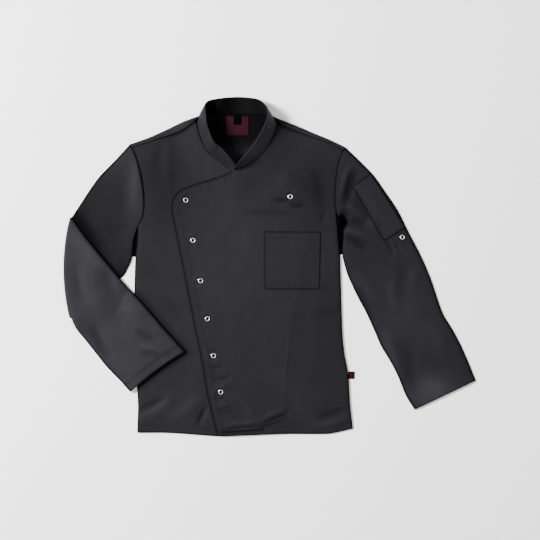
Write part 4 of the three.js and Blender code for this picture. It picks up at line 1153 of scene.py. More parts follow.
def rise_of(row, plan, u, creases):
    """How far a section's upper side stands above its folded edges."""
    rise = (row[4] - 2 * SLEEVE_EDGE + relief(creases, *plan.T)) * crown(u)
    return np.maximum(rise, LEAST_RISE)


def shoulder_bend(armhole):
    """How far the armhole's curve lies off its chord, for each place across the sleeve."""
    line = curve(armhole, 1.0)
    far = walked(line) / walked(line)[-1]
    chord = np.array(armhole[-1], float) - np.array(armhole[0], float)
    def bend(u):
        on_curve = np.stack([np.interp(u, far, line[:, k]) for k in (0, 1)], axis=1)
        return on_curve - (np.array(armhole[0]) + chord * u[:, None])
    return bend


def pressed(row, u, bend, fade, creases):
    """One flat section on the floor: its top and bottom points, with the folded edges rounded."""
    plan = plan_of(row, u) + bend(u) * fade
    rounded = fold_rounding(width_of(row), u)
    top = SLEEVE_EDGE + SLEEVE_EDGE * rounded + rise_of(row, plan, u, creases)
    below = SLEEVE_EDGE - SLEEVE_EDGE * rounded
    return np.column_stack([plan, np.where(ON_TOP, top, below)])


def allowance(ring, armhole_side):
    """Rings of the seam allowance that runs in between the back and the front, and the dip before it."""
    across = ring[len(ACROSS) - 1, :2] - ring[0, :2]
    across /= np.linalg.norm(across)
    inwards = np.array([-across[1], across[0]]) * armhole_side
    pulled = (0.5 - TOP_THEN_BELOW)[:, None] * across * ALLOWANCE_PULL
    rings = []
    for depth, top, below, pull in ALLOWANCE:
        plan = ring[:, :2] + inwards * depth + pulled * pull
        rings.append(np.column_stack([plan, np.where(ON_TOP, top, below)]))
    return rings


def tube_piece(name, rings, tone):
    rings = np.array(rings)
    count, size, _ = rings.shape
    centre = rings[:, [0, len(ACROSS) - 1], :].mean(1)
    along = walked(centre)
    width = np.linalg.norm(rings[:, len(ACROSS) - 1] - rings[:, 0], axis=1)
    flat = np.stack([(TOP_THEN_BELOW - 0.5) * width[:, None], along[:, None] + np.zeros(size)], axis=2)
    points = rings.reshape(-1, 3)
    faces = turned_outwards(points, grid_faces(count, size, closed=True))
    from_fold = np.minimum(TOP_THEN_BELOW, 1 - TOP_THEN_BELOW) * width[:, None]
    # Painted shade along the sleeve's folded edges, for its dark outline
    rolled = 1 - FOLD_SHADE * np.exp(-((from_fold / FOLD_REACH) ** 2)).ravel()
    piece = make_piece(name, points, faces, flat.reshape(-1, 2), tone(points) * rolled, [twill])
    return thickened(piece, SLEEVE_SHEET)


def seam_dip(ring, amount):
    """The top of a section sinks near the armhole seam."""
    sunk = ring.copy()
    sunk[:, 2] = np.where(ON_TOP, np.maximum(ring[:, 2] - amount, 1.0), ring[:, 2])
    return sunk


# %% Left sleeve
PEN_MOUTH = [(201, 192), (243.5, 222.5)]
PEN_FOOT = [(274.8, 63), (325.5, 94)]
PEN_ROUND = [(0, 0), (0, 1), *[(1, down / 5) for down in range(5, -1, -1)], (0, 0)]
PEN_SHADE = (3.2, 0.5)
# Share of the armhole's curve that each row of a sleeve keeps
FADE = [(0, 1), (1, 0.55), (2, 0.2), (3, 0), (4, 0)]
SEAM_DIP = 0.9
ROW_SPACING = 45
DIP_REACH = 4
# Painted shade in the deep places below the arm, sinking to black: x, y, how wide, how tall, how dark
LEFT_HOLLOWS = [(172, 106, 20, 28, 0.985), (172, 76, 8, 52, 0.95)]
LEFT_CONTRAST = 1.7
CUFF_SHADE = (2.4, 0.7)


def pen_corner(across, down):
    mouth, foot = (mix(*np.array(line, float), across) for line in (PEN_MOUTH, PEN_FOOT))
    return mix(mouth, foot, down)


def pen_line(places):
    """A line over places (across, down) on the pen pocket."""
    return [pen_corner(across, down) for across, down in places]


pen_outline = corner_line(pen_line(PEN_ROUND))
pen_bag = evenly(pen_line([(0.05, 0.0), (0.05, 0.98), (0.97, 0.98)]), 2.5)
pen_hem = evenly(pen_line([(0.07, 0.09), (0.95, 0.09)]), 2.5)


def armhole_rings(rows, armhole, creases, side):
    """Sections of a sleeve on the floor from its seam allowance on."""
    bend = shoulder_bend(armhole)
    rings = []
    for i, row in enumerate(along_rows(rows, STEPS)):
        at = i / STEPS
        fade = float(look_up(FADE, min(at, 4)))
        ring = pressed(row, TOP_THEN_BELOW, bend, max(fade, 0), creases)
        rings.append(seam_dip(ring, SEAM_DIP * math.exp(-((at * ROW_SPACING / DIP_REACH) ** 2))))
    return [*allowance(rings[0], side), *rings]


def hollow(points, places):
    """Painted shade that sinks to black in deep places: (x, y, how wide, how tall, how dark)."""
    tone = np.ones(len(points))
    for x, y, wide, tall, dark in places:
        across, along = np.abs(points[:, 0] - x) / wide, np.abs(points[:, 1] - y) / tall
        tone *= 1 - dark * (1 - smooth(0.6, 1.05, (across**1.25 + along**1.25) ** 0.8))
    return tone


# Painted shade below the arm, by the seam, the pen pocket and the cuff, in creases and round the fastener,
# with painted light and shade in patches
def left_sleeve_tone(points):
    x, y = points[:, :2].T
    deep = hollow(points, LEFT_HOLLOWS)
    seam = shaded_by(curve(LEFT_ARMHOLE, 4), x, y, *ARMHOLE_SHADE)
    pocket = shaded_by(pen_outline, x, y, *PEN_SHADE)
    cuff = shaded_by(evenly([LEFT_SLEEVE[-1][:2], LEFT_SLEEVE[-1][2:4]], 4), x, y, *CUFF_SHADE)
    creased = crease_tone(LEFT_ARM_CREASES, x, y) ** LEFT_CONTRAST
    return deep * seam * pocket * cuff * creased * painted_patches(x, y) * fastener_shadows(x, y)


left_rings = armhole_rings(LEFT_SLEEVE, LEFT_ARMHOLE, LEFT_ARM_CREASES, 1)
sleeve_left = tube_piece("sleeve_left_cloth", left_rings, left_sleeve_tone)
print("sleeve_left:", len(sleeve_left.data.polygons), "faces")

# %% Right sleeve, folded at the elbow
FOLD_TURNS = 16
ELBOW_WIDTH = 241
# Painted light: how much lighter the forearm is
FOREARM_LIGHT = 1.32
# Painted shade at the cuff seam and at the cuff edge: inset, reach, darkness
CUFF_SEAM = (22, 2.2, 0.35)
CUFF_EDGE = (1, 2.2, 0.6)
ELBOW_LINE = ((-477.6, -123), (-356.4, -25.8))


def forearm_floor(x, y):
    """The forearm rises from the surface on to the body, and on to the upper arm above the elbow line."""
    on_body = BODY_CLIMB * smooth(-385, -300, x)
    (ax, ay), (bx, by) = ELBOW_LINE
    length = math.hypot(bx - ax, by - ay)
    above = ((bx - ax) * (y - by) - (by - ay) * (x - bx)) / length
    return np.maximum(on_body, ELBOW_CLIMB * smooth(-75, -3, above))


def elbow_rings():
    u = TOP_THEN_BELOW
    row = RIGHT_FOREARM[0]
    plan = plan_of(row, u)
    axis = ELBOW_HEIGHT + GAP / 2
    thin = ELBOW_HEIGHT - 2 * SLEEVE_EDGE
    outwards = np.array([row[3] - row[1], row[0] - row[2]])
    outwards = outwards / np.linalg.norm(outwards)
    rounded = fold_rounding(ELBOW_WIDTH, u)
    rings = []
    for angle in np.linspace(0, math.pi, FOLD_TURNS):
        turned = (1 - math.cos(angle)) / 2
        high, low = mix(thin, 0, turned), mix(0, thin, turned)
        radius = SLEEVE_EDGE + high + GAP / 2
        off = np.where(ON_TOP, SLEEVE_EDGE * rounded + high * crown(u),
                       -SLEEVE_EDGE * rounded - low * crown(u)) - radius
        rings.append(np.column_stack([plan - outwards * (math.sin(angle) * off)[:, None],
                                      axis + math.cos(angle) * off]))
    return rings


def forearm_ring(row):
    """A section that lies with its back side up: what was on top of the arm is now below."""
    u = TOP_THEN_BELOW
    plan = plan_of(row, u)
    rounded = fold_rounding(width_of(row), u)
    base = forearm_floor(*plan.T) + SLEEVE_EDGE
    above = base + SLEEVE_EDGE * rounded + rise_of(row, plan, u, FOREARM_CREASES)
    below = base - SLEEVE_EDGE * rounded
    return np.column_stack([plan, np.where(ON_TOP, below, above)])


upper = armhole_rings(RIGHT_UPPER_ARM, RIGHT_ARMHOLE, UPPER_ARM_CREASES, -1)
forearm = [forearm_ring(row) for row in along_rows(RIGHT_FOREARM, STEPS)]


def cuff_line(rows, inset):
    """A line across a sleeve, inset from its cuff."""
    outer_end, inner_end = np.array(rows[-1][:2]), np.array(rows[-1][2:4])
    outer_way = np.array(rows[-2][:2]) - outer_end
    inner_way = np.array(rows[-2][2:4]) - inner_end
    start = outer_end + outer_way / np.linalg.norm(outer_way) * inset
    end = inner_end + inner_way / np.linalg.norm(inner_way) * inset
    return bowed(start, end, bow_of(rows[-1]), np.linspace(0.006, 0.994, 60))


def right_sleeve_tone(points):
    """Painted light on the forearm and towards the armhole, and painted shade on the upper arm near the
    fold.
    """
    x, y = points[:, :2].T
    rings = len(points) // len(TOP_THEN_BELOW)
    forearm = np.repeat(smooth(0, 5, np.arange(rings) - len(upper) - FOLD_TURNS / 2), len(TOP_THEN_BELOW))
    near_fold = shaded_by(forearm_edge, x, y, mix(26, 8, smooth(-450, -395, x)), 0.74)
    near_seam = shaded_by(curve(RIGHT_ARMHOLE, 4), x, y, *ARMHOLE_SHADE)
    # Painted light that grows from the upper arm's outer edge towards the armhole seam
    outwards = 0.64 + 0.42 * smooth(-430, -318, x + 0.3 * (y - 200))
    cuff = np.ones(len(x))
    for inset, reach, dark in (CUFF_SEAM, CUFF_EDGE):
        cuff *= shaded_by(cuff_line(RIGHT_FOREARM, inset), x, y, reach, dark)
    upper_part = outwards * near_fold * near_seam * crease_tone(UPPER_ARM_CREASES, x, y)
    return mix(upper_part, FOREARM_LIGHT * cuff * crease_tone(FOREARM_CREASES, x, y), forearm)


right_rings = [*upper[:-1], *elbow_rings(), *forearm[1:]]
sleeve_right = tube_piece("sleeve_right_cloth", right_rings, right_sleeve_tone)
print("sleeve_right:", len(sleeve_right.data.polygons), "faces")

# %% [markdown]
# ## The stand collar
#
# The collar is a double band of stiffened cloth that stands on the neck seam. It runs from the lower front,
# round the back of the neck, to the upper front, where the two ends cross. A ring of points goes up the
# outer face, over the rounded rim and down the inner face, and the rings follow the pattern's rows. The
# inner face takes a darker cloth with painted shade on it, standing both for a black lining and for the
# deep shade inside the collar.

# %% Collar tables
BAND_HEIGHT = 42
BAND_THICK = 1.9
BAND_BOW = 1.6
# Seam x and y, rim x and y, share of the full height, 0 on the back to 1 on a front, 1 on the over front
COLLAR = [
    (-86, 224, -75, 236.5, 0.42, 1, 0), (-98, 233, -84.5, 247.5, 0.64, 1, 0),
    (-114, 245.9, -97, 263, 0.9, 1, 0), (-133.2, 261, -115, 283.1, 1, 1, 0),
    (-150, 276.6, -132, 296.3, 1, 1, 0),
    (-163.2, 304.2, -143.5, 322.8, 1, 1, 0), (-170.4, 328.2, -149.3, 342.6, 1, 1, 0),
    (-173.3, 342.6, -151.5, 364, 1, 0.9, 0), (-173.2, 354.5, -154, 386, 1, 0.55, 0),
    (-167, 361, -147, 397.5, 1, 0.2, 0), (-152.4, 363.5, -133.5, 402, 1, 0, 0),
    (-118.8, 365.4, -108.2, 405, 1, 0, 0), (-78, 366.1, -76, 406.7, 1, 0, 0),
    (-42, 365.6, -46.1, 404.5, 1, 0, 0), (-13.2, 364.4, -27, 400.8, 1, 0, 0),
    (1.5, 361.5, -15.5, 393, 1, 0.2, 0), (9.5, 355.5, -7, 381, 1, 0.55, 0),
    (14, 347, -4, 367, 1, 0.9, 0), (15.6, 338, -5.5, 353, 1, 1, 0), (13.6, 327, -10.8, 338, 1, 1, 0),
    (8.2, 312.4, -21, 319.2, 1, 1, 1), (0, 295.8, -32.4, 299.9, 1, 1, 1),
    (-14.2, 274.2, -46.8, 280.2, 0.98, 1, 1), (-32.4, 257.9, -59.8, 264, 0.9, 1, 1),
    (-53, 244.4, -70.1, 252.4, 0.71, 1, 1), (-70.8, 235.6, -78.5, 241.6, 0.48, 1, 1),
    (-84, 229.4, -85.5, 232.6, 0.21, 1, 1)]
COLLAR_STEPS = 8
FACE_STEPS = 18
RIM_STITCH = 0.87
BACK_SEAT = 0.6
SEAM_STITCH = 0.08


def collar_frame():
    """Seam, rim and inward direction of the band at each of its rows."""
    rows = along_rows(COLLAR, COLLAR_STEPS)
    seat, over = np.clip(rows[:, 5], 0, 1), np.clip(rows[:, 6], 0, 1)
    x, y = rows[:, 0], rows[:, 1]
    front = mix(first_layer(x, y), over_layer(x, y), over) - 0.3
    seam = np.column_stack([x, y, mix(BACK_SEAT, front, smooth(0.6, 0.95, seat))])
    flat = np.hypot(rows[:, 2] - x, rows[:, 3] - y)
    rise = np.sqrt(np.maximum(0, (rows[:, 4] * BAND_HEIGHT) ** 2 - flat**2))
    rim = np.column_stack([rows[:, 2:4], mix(BACK_SEAT, front, seat) + np.maximum(rise, 1.5)])
    both = seam + rim
    along = np.vstack([both[1:2] - both[:1], both[2:] - both[:-2], both[-1:] - both[-2:-1]])
    along[:, 2] = 0
    inwards = np.cross(along, rim - seam)
    inwards /= np.linalg.norm(inwards, axis=1)[:, None]
    level = inwards * (1, 1, 0)
    level /= np.linalg.norm(level, axis=1)[:, None]
    return seam + level * 0.15 * seat[:, None], rim, inwards, BAND_BOW * rise / BAND_HEIGHT


def band_point(frame_rows, t, depth):
    """Points of every row at a share of the height and a depth from the outer face."""
    seam, rim, inwards, bow = frame_rows
    return seam + (rim - seam) * t + inwards * (depth - bow * 4 * t * (1 - t))[:, None]


def band_shade(profile):
    """Painted shade over the band's section: dark where it is sewn in, and dark on the inner face."""
    return [0.4 if depth > 0.3 and share > 0.9 or depth > 1 else 1 - 0.25 * math.exp(-((share / 0.05) ** 2))
            for share, depth in profile]


def band_profile(height):
    """Share of the height and depth of each point: up the outer face, over the rim and down inside."""
    rim = BAND_THICK / 2 / height
    profile = []
    for t in np.linspace(0, 1 - rim, FACE_STEPS):
        groove = sum(math.exp(-(((t - seam) * height / 1.2) ** 2)) for seam in (RIM_STITCH, SEAM_STITCH))
        profile.append((t, 0.35 * groove))
    for turn in np.linspace(0, math.pi, 7)[1:-1]:
        profile.append((1 - (1 - math.sin(turn)) * BAND_THICK / 2 / height,
                        BAND_THICK / 2 * (1 - math.cos(turn))))
    return profile + [(t, BAND_THICK) for t in np.linspace(1 - rim, 0, FACE_STEPS)]


def make_collar():
    frame_rows = collar_frame()
    height = np.linalg.norm(frame_rows[1] - frame_rows[0], axis=1).max()
    profile = band_profile(height)
    loops = np.array([band_point(frame_rows, t, depth) for t, depth in profile]).transpose(1, 0, 2)
    count, size, _ = loops.shape
    faces = grid_faces(count, size, closed=True)
    inner = [int(k >= FACE_STEPS + 3) for _ in range(count - 1) for k in range(size)]
    for start, turned in ((0, False), ((count - 1) * size, True)):
        for k in range(size // 2 - 1):
            face = [start + size - 1 - k, start + size - 2 - k, start + k + 1, start + k]
            faces.append(face[::-1] if turned else face)
            inner.append(0)
    points = loops.reshape(-1, 3)
    along, up = np.repeat(walked(loops[:, 0]), size), np.tile([t * height for t, _ in profile], count)
    flat = np.column_stack([along, up])
    # Painted shade on the band's part on the wearer's right and painted light, up to 2.5 times, on the part
    # on the wearer's left, evening out how the lamp falls on them
    tone = mix(0.76, 2.5, smooth(-110, -50, points[:, 0])) * np.tile(band_shade(profile), count)
    faces = turned_outwards(points, faces)
    return make_piece("collar_band", points, faces, flat, tone, [twill, lining_and_shade], inner), frame_rows


collar, collar_rows = make_collar()
print("collar:", len(collar.data.polygons), "faces")

# %% [markdown]
# ## Pockets
#
# A patch pocket is a single cloth with turned edges, sewn on along three sides. It is laid on the panel
# below by adding a small gap to that panel's own height, so it follows each crease. The pen pocket finds
# the sleeve by rays cast down from above, because the sleeve is a tube and not a height.

# %% Rays down on a piece
def surface_of(piece):
    bpy.context.view_layer.update()
    return BVHTree.FromObject(piece, bpy.context.evaluated_depsgraph_get())


def drape(surface, line, lift=0.0, from_below=False):
    """Heights in millimetres where the points of a line meet a surface."""
    heights = []
    start, way = (-0.05, 1) if from_below else (0.3, -1)
    for x, y in line:
        hit = surface.ray_cast(Vector((x * MM + SHIFT[0], y * MM + SHIFT[1], start)), Vector((0, 0, way)))[0]
        heights.append(np.nan if hit is None else hit.z / MM - way * lift)
    return np.array(heights)


# %% Chest pocket
POCKET_STITCH = 2.8
POCKET_HEM = 15.6
POCKET_FOOT = 11.0
POCKET_SHEET = 0.7
POCKET_LIFT = 0.95

bag = np.array(CHEST_POCKET, float)
bag_seam = moved(evenly(bag, 2.5), POCKET_STITCH)[1:-1]
pocket_lines = [
    bag_seam,
    evenly([(-9, 84 - POCKET_HEM), (119.5, 83.2 - POCKET_HEM)], 2.5),
    evenly([(-6, -53 + POCKET_FOOT), (116.5, -52.6 + POCKET_FOOT)], 2.5)]


def pocket_top(x, y):
    closed = np.vstack([pocket_outline, pocket_outline[:1]])
    from_edge = distance(closed, x, y)
    full = 0.5 * smooth(2, 30, from_edge) + 0.35 * smooth(78, 83, y)
    return over_top(x, y) + POCKET_LIFT + full - 0.25 * np.exp(-((from_edge / 1.5) ** 2))


chest_pocket = shell("chest_pocket_cloth", pocket_outline, pocket_top,
                     thickness=POCKET_SHEET, seams=pocket_lines, materials=[twill])
print("chest_pocket:", len(chest_pocket.data.polygons), "faces")

# %% Pen pocket on the sleeve
left_surface = surface_of(sleeve_left)
PEN_CREASE = [([(236, 176), (262, 140), (288, 96)], 9, 12, 0.9)]


def pen_top(x, y):
    low = drape(left_surface, np.column_stack([x, y]))
    low = np.where(np.isnan(low), 2.0, low)
    return low + 0.85 + relief(PEN_CREASE, x, y)


sleeve_pocket = shell("sleeve_pocket_cloth", pen_outline, pen_top, thickness=0.65,
                      seams=[pen_bag, pen_hem], materials=[twill], spacing=FINE * 0.9)
print("sleeve_pocket:", len(sleeve_pocket.data.polygons), "faces")

# %% [markdown]
# ## Labels
#
# Woven labels are stiffer than the cloth and shiny. The neck label is a plain maroon ribbon with folded
# edges, the size tab a black loop at its top edge, and the side label a maroon loop caught in the side
# seam. All three stay blank.

# %% Labels
NECK_LABEL = (-77.5, 338, 56, 49)
SIZE_TAB = (-77.5, 352, 17, 22)
SIDE_LABEL = (196.8, -260, 15, 18)
RIBBON_SHEET = 0.3


def patch_outline(x, y, width, depth, step=2.0):
    left, right, low, high = x - width / 2, x + width / 2, y - depth / 2, y + depth / 2
    return corner_line([(left, low), (right, low), (right, high), (left, high), (left, low)], step)


def label_top(x, y):
    return 1.75 + 0.5 * np.cos((x + 80) / 19) ** 2 * smooth(312, 330, y) + 0.25 * smooth(330, 362, y)


label_seams = [evenly([(-103, 359.5), (-52, 359.5)], 2), evenly([(-103, 316), (-52, 316)], 2)]
neck_label = shell("neck_label_ribbon", patch_outline(*NECK_LABEL), label_top, thickness=0.45,
                   seams=label_seams, materials=[ribbon], spacing=2.2)


def loop_piece(name, box, height, rise, material, along_x):
    """A ribbon folded in half: up one side, round the fold and back below."""
    x, y, width, depth = box
    long, wide = (width, depth) if along_x else (depth, width)
    section = [(-long / 2, height)] + [(-long / 2 + long * s, height + 0.15 * math.sin(math.pi * s))
                                       for s in np.linspace(0.1, 0.9, 9)]
    radius = (height - rise) / 2
    for turn in np.linspace(0, math.pi, 9):
        section.append((long / 2 - radius + radius * math.sin(turn), height - radius * (1 - math.cos(turn))))
    section += [(-long / 2 + long * s, rise) for s in np.linspace(0.9, 0.0, 10)]
    section = np.array(section)
    steps = np.linspace(-wide / 2, wide / 2, 13)
    grid = np.array([[(a, w, z) if along_x else (w, -a, z) for w in steps] for a, z in section])
    grid = grid + (x, y, 0)
    far = walked(section)
    flat = np.stack(np.broadcast_arrays(steps[None, :], far[:, None]), axis=2).reshape(-1, 2)
    faces = grid_faces(len(section), len(steps))
    if along_x:
        faces = [face[::-1] for face in faces]
    piece = make_piece(name, grid.reshape(-1, 3), faces, flat, 1.0, [material])
    return thickened(piece, RIBBON_SHEET)


size_tab = loop_piece("size_tab_ribbon", SIZE_TAB, 3.6, 2.6, tape, False)
side_label = loop_piece("side_label_ribbon", SIDE_LABEL, 1.4, 0.3, ribbon, True)
print("labels:", neck_label.name, size_tab.name, side_label.name)

# %% [markdown]
# ## Ring fasteners
#
# Each press fastener shows as a nickel ring round a sunken near-black centre, which stands both for the
# black cloth inside the ring and for the painted shade there. Its outline is one profile, from the foot over
# the rounded ring and down into the middle, turned about its axis. The place comes from the CAD node that
# it stands for. The one on the sleeve leans with the cloth, which falls away to the folded edge there.

# %% Fasteners
RING_PROFILE = [(6.05, 0.0), (6.25, 0.12), (6.28, 0.5), (6.12, 0.95), (5.8, 1.36), (5.4, 1.62), (4.95, 1.7),
                (4.5, 1.62), (4.15, 1.36), (3.95, 0.95), (3.85, 0.6), (3.75, 0.35)]
SOCKET_PROFILE = [(3.6, 0.3), (1.75, 0.3), (1.5, 0.45), (1.2, 0.58), (0.6, 0.62), (0.0, 0.62)]
RING_TURNS = 48


def fastener(name, node, lean=None):
    low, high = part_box(node)
    profile = np.array(RING_PROFILE + SOCKET_PROFILE)
    turns = np.linspace(0, TURN, RING_TURNS, endpoint=False)
    points = [(r * math.cos(a), r * math.sin(a), z) for r, z in profile[:-1] for a in turns]
    points += [(0, 0, profile[-1, 1]), (0, 0, 0)]
    tip, foot = len(points) - 2, len(points) - 1
    faces = grid_faces(len(profile) - 1, RING_TURNS, closed=True)
    dark = [int(i // RING_TURNS >= len(RING_PROFILE) - 1) for i in range(len(faces))]
    last = (len(profile) - 2) * RING_TURNS
    for k in range(RING_TURNS):
        after = (k + 1) % RING_TURNS
        faces += [[last + k, last + after, tip], [after, k, foot]]
        dark += [1, 0]
    mesh = bpy.data.meshes.new(name)
    turn = Matrix.Identity(3) if lean is None else lean
    centre = Vector(((low.x + high.x) / 2, (low.y + high.y) / 2, low.z))
    place = [tuple(centre + turn @ Vector(p) * MM) for p in points]
    mesh.from_pydata(place, [], faces)
    mesh.materials.append(nickel)
    mesh.materials.append(centre_black_and_shade)
    mesh.polygons.foreach_set("material_index", np.array(dark, np.int32))
    mesh.polygons.foreach_set("use_smooth", np.ones(len(faces), bool))
    piece = bpy.data.objects.new(name, mesh)
    bpy.context.collection.objects.link(piece)
    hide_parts(node)
    return piece


SLEEVE_LEAN = Matrix.Rotation(math.radians(24), 3, Vector((-0.47, 0.88, 0)))
fasteners = [fastener(f"ring_{i}", f"snap_{i}") for i in range(1, 7)]
fasteners.append(fastener("ring_chest", "snap_chest"))
fasteners.append(fastener("ring_sleeve", "snap_sleeve", SLEEVE_LEAN))
print("fasteners:", len(fasteners))

# %% [markdown]
# ## Stitches
#
# Rows of stitches repeat, so Geometry Nodes make them. Each row is laid as a chain of points on the cloth.
# The tree turns it into a curve, puts one small arched thread on it for every stitch, turns it along the
# row, and makes the copies real. Its inputs are the sizes that a tailor would set on the machine.

# %% The stitch tree
STITCH_SIZES = {"Stitch Length": 0.0023, "Stitch Pitch": 0.0031, "Thread Radius": 0.00026,
                "Stitch Height": 0.0003}
STITCH_NODES = {
    "start": "NodeGroupInput", "curve": "GeometryNodeMeshToCurve", "marks": "GeometryNodeResampleCurve",
    "half": "ShaderNodeMath", "minus": "ShaderNodeMath", "from": "ShaderNodeCombineXYZ",
    "over": "ShaderNodeCombineXYZ", "to": "ShaderNodeCombineXYZ",
    "arch": "GeometryNodeCurveQuadraticBezier", "round": "GeometryNodeCurvePrimitiveCircle",
    "stitch": "GeometryNodeCurveToMesh", "tangent": "GeometryNodeInputTangent",
    "turn": "FunctionNodeAlignRotationToVector", "level": "FunctionNodeAlignRotationToVector",
    "copies": "GeometryNodeInstanceOnPoints", "real": "GeometryNodeRealizeInstances",
    "smooth": "GeometryNodeSetShadeSmooth", "finish": "GeometryNodeSetMaterial", "end": "NodeGroupOutput"}
# From a node and its output to a node and its input
STITCH_LINKS = [
    ("start", "Geometry", "curve", "Mesh"), ("curve", "Curve", "marks", "Curve"),
    ("start", "Stitch Pitch", "marks", "Length"), ("start", "Stitch Length", "half", 0),
    ("start", "Stitch Length", "minus", 0), ("minus", 0, "from", "X"),
    ("start", "Stitch Height", "over", "Z"), ("half", 0, "to", "X"), ("from", 0, "arch", "Start"),
    ("over", 0, "arch", "Middle"), ("to", 0, "arch", "End"), ("start", "Thread Radius", "round", "Radius"),
    ("arch", "Curve", "stitch", "Curve"), ("round", "Curve", "stitch", "Profile Curve"),
    ("tangent", "Tangent", "turn", "Vector"), ("turn", "Rotation", "level", "Rotation"),
    ("marks", "Curve", "copies", "Points"), ("stitch", "Mesh", "copies", "Instance"),
    ("level", "Rotation", "copies", "Rotation"), ("copies", "Instances", "real", "Geometry"),
    ("real", "Geometry", "smooth", "Geometry"), ("smooth", "Geometry", "finish", "Geometry"),
    ("start", "Thread", "finish", "Material"), ("finish", "Geometry", "end", "Geometry")]


def stitch_tree():
    tree = bpy.data.node_groups.new("rows_of_stitches", "GeometryNodeTree")
    face = tree.interface
    face.new_socket("Geometry", in_out="INPUT", socket_type="NodeSocketGeometry")
    for name, value in STITCH_SIZES.items():
        socket = face.new_socket(name, in_out="INPUT", socket_type="NodeSocketFloat")
        socket.default_value = value
    face.new_socket("Thread", in_out="INPUT", socket_type="NodeSocketMaterial")
    face.new_socket("Geometry", in_out="OUTPUT", socket_type="NodeSocketGeometry")
    node = {key: tree.nodes.new(kind) for key, kind in STITCH_NODES.items()}
    node["marks"].mode = "LENGTH"
    for key, factor in (("half", 0.5), ("minus", -0.5)):
        node[key].operation = "MULTIPLY"
        node[key].inputs[1].default_value = factor
    for key, steps in (("arch", 4), ("round", 5)):
        node[key].inputs["Resolution"].default_value = steps
    node["stitch"].inputs["Fill Caps"].default_value = True
    node["turn"].axis = "X"
    node["level"].axis = "Z"
    node["level"].pivot_axis = "X"
    node["level"].inputs["Vector"].default_value = (0, 0, 1)
    for source, output, target, entry in STITCH_LINKS:
        tree.links.new(node[source].outputs[output], node[target].inputs[entry])
    return tree


STITCHES = stitch_tree()


def sew(name, rows, material, **sizes):
    """One piece of stitches along rows of points, given in millimetres."""
    points, edges = [], []
    for row in rows:
        row = np.array(row)
        row = row[~np.isnan(row).any(axis=1)]
        first = len(points)
        points += [(x * MM + SHIFT[0], y * MM + SHIFT[1], z * MM) for x, y, z in row]
        edges += [(first + i, first + i + 1) for i in range(len(row) - 1)]
    mesh = bpy.data.meshes.new(name)
    mesh.from_pydata(points, edges, [])
    piece = bpy.data.objects.new(name, mesh)
    bpy.context.collection.objects.link(piece)
    rows_modifier = piece.modifiers.new("stitches", "NODES")
    rows_modifier.node_group = STITCHES
    named = {item.name: item.identifier for item in STITCHES.interface.items_tree if item.in_out == "INPUT"}
    rows_modifier[named["Thread"]] = material
    for title, value in sizes.items():
        rows_modifier[named[title.replace("_", " ")]] = value
    settle(piece)
    print(name, len(piece.data.polygons), "faces")
    return piece


def on(surface, line, lift=0.12, from_below=False):
    """A flat line laid on a piece."""
    line = evenly(line, 2.5)
    return np.column_stack([line, drape(surface, line, lift, from_below)])


# %% Rows of stitches
under_surface, over_surface = surface_of(front_under), surface_of(front_over)
back_surface, right_surface = surface_of(back), surface_of(sleeve_right)
pocket_surface, pen_surface = surface_of(chest_pocket), surface_of(sleeve_pocket)
label_surface = surface_of(neck_label)
SHOULDER_INSET = 3.0

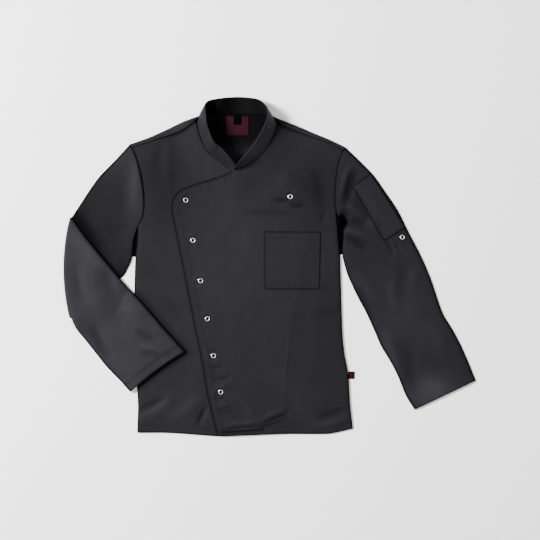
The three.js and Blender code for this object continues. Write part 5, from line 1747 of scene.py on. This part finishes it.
front_rows = [on(under_surface, line) for line in under_seams]
front_rows += [on(over_surface, line) for line in over_seams]
stitches_fronts = sew("stitches_fronts", front_rows, thread)
back_rows = [on(back_surface, curve(seam)[2:-2] + (0, SHOULDER_INSET))
             for seam in (RIGHT_SHOULDER, LEFT_SHOULDER)]
back_rows.append(on(back_surface, hem_line(-300, 185) + (0, HEM_STITCH), from_below=True))
stitches_back = sew("stitches_back", back_rows, thread)
sleeve_rows = [on(right_surface, cuff_line(RIGHT_FOREARM, inset)) for inset in (17, 22)]
stitches_sleeves = sew("stitches_sleeves", sleeve_rows, thread)
pocket_rows = [on(pocket_surface, line) for line in pocket_lines]
pocket_rows += [on(pen_surface, line) for line in (pen_bag, pen_hem)]
stitches_pockets = sew("stitches_pockets", pocket_rows, thread)
collar_lines = [band_point(collar_rows, t, -0.05)[4:-4] for t in (RIM_STITCH, SEAM_STITCH)]
stitches_collar = sew("stitches_collar", collar_lines, thread)
stitches_label = sew("stitches_label", [on(label_surface, line) for line in label_seams], tape,
                     Stitch_Length=0.0016, Stitch_Pitch=0.0022, Thread_Radius=0.00018)

# %% [markdown]
# ## Bodies and sheets
#
# A garment has no joints, so every piece rides on the one body. The table's slot, lie and below columns
# are not read here.

SHEETS = [
    (front_under, "front_under", "cloth", (0.412, 0.757), 0.236, "laid", ["back_cloth"]),
    (front_over, "front_over", "cloth", (0.438, 0.758), 0.243, "laid", ["front_under_cloth"]),
    (back, "back", "cloth", (0.517, 0.800), 0.371, "laid", []),
    (collar, "collar", "cloth", (0.600, 0.042), 0.0210, "folded", ["back_cloth"]),
    (sleeve_left, "sleeve_left", "cloth", (0.384, 0.620), 0.200, "laid", []),
    (sleeve_right, "sleeve_right", "cloth", (0.384, 0.620), 0.200, "folded", ["front_under_cloth"]),
    (chest_pocket, "chest_pocket", "cloth", (0.134, 0.138), None, "laid", ["front_over_cloth"]),
    (sleeve_pocket, "sleeve_pocket", "cloth", (0.060, 0.150), None, "laid", ["sleeve_left_cloth"]),
    (neck_label, "neck_label", "label", (0.056, 0.049), None, "laid", ["back_cloth"]),
    (size_tab, "size_tab", "cloth", (0.017, 0.044), None, "folded", ["neck_label_ribbon"]),
    (side_label, "side_label", "label", (0.018, 0.030), None, "folded", []),
]


def cloth_area(piece):
    return sum(face.area for face in piece.data.polygons) / 2


for piece, node, slot, flat_size, area, held, below in SHEETS:
    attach(piece, "root")
    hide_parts(node)
    share = cloth_area(piece) / (area or flat_size[0] * flat_size[1])
    print(piece.name, "area m2", round(cloth_area(piece), 4), "share of its cut", round(share, 3))

stitches = (stitches_fronts, stitches_back, stitches_sleeves, stitches_pockets, stitches_collar,
            stitches_label)
for piece in (*fasteners, *stitches):
    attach(piece, "root")
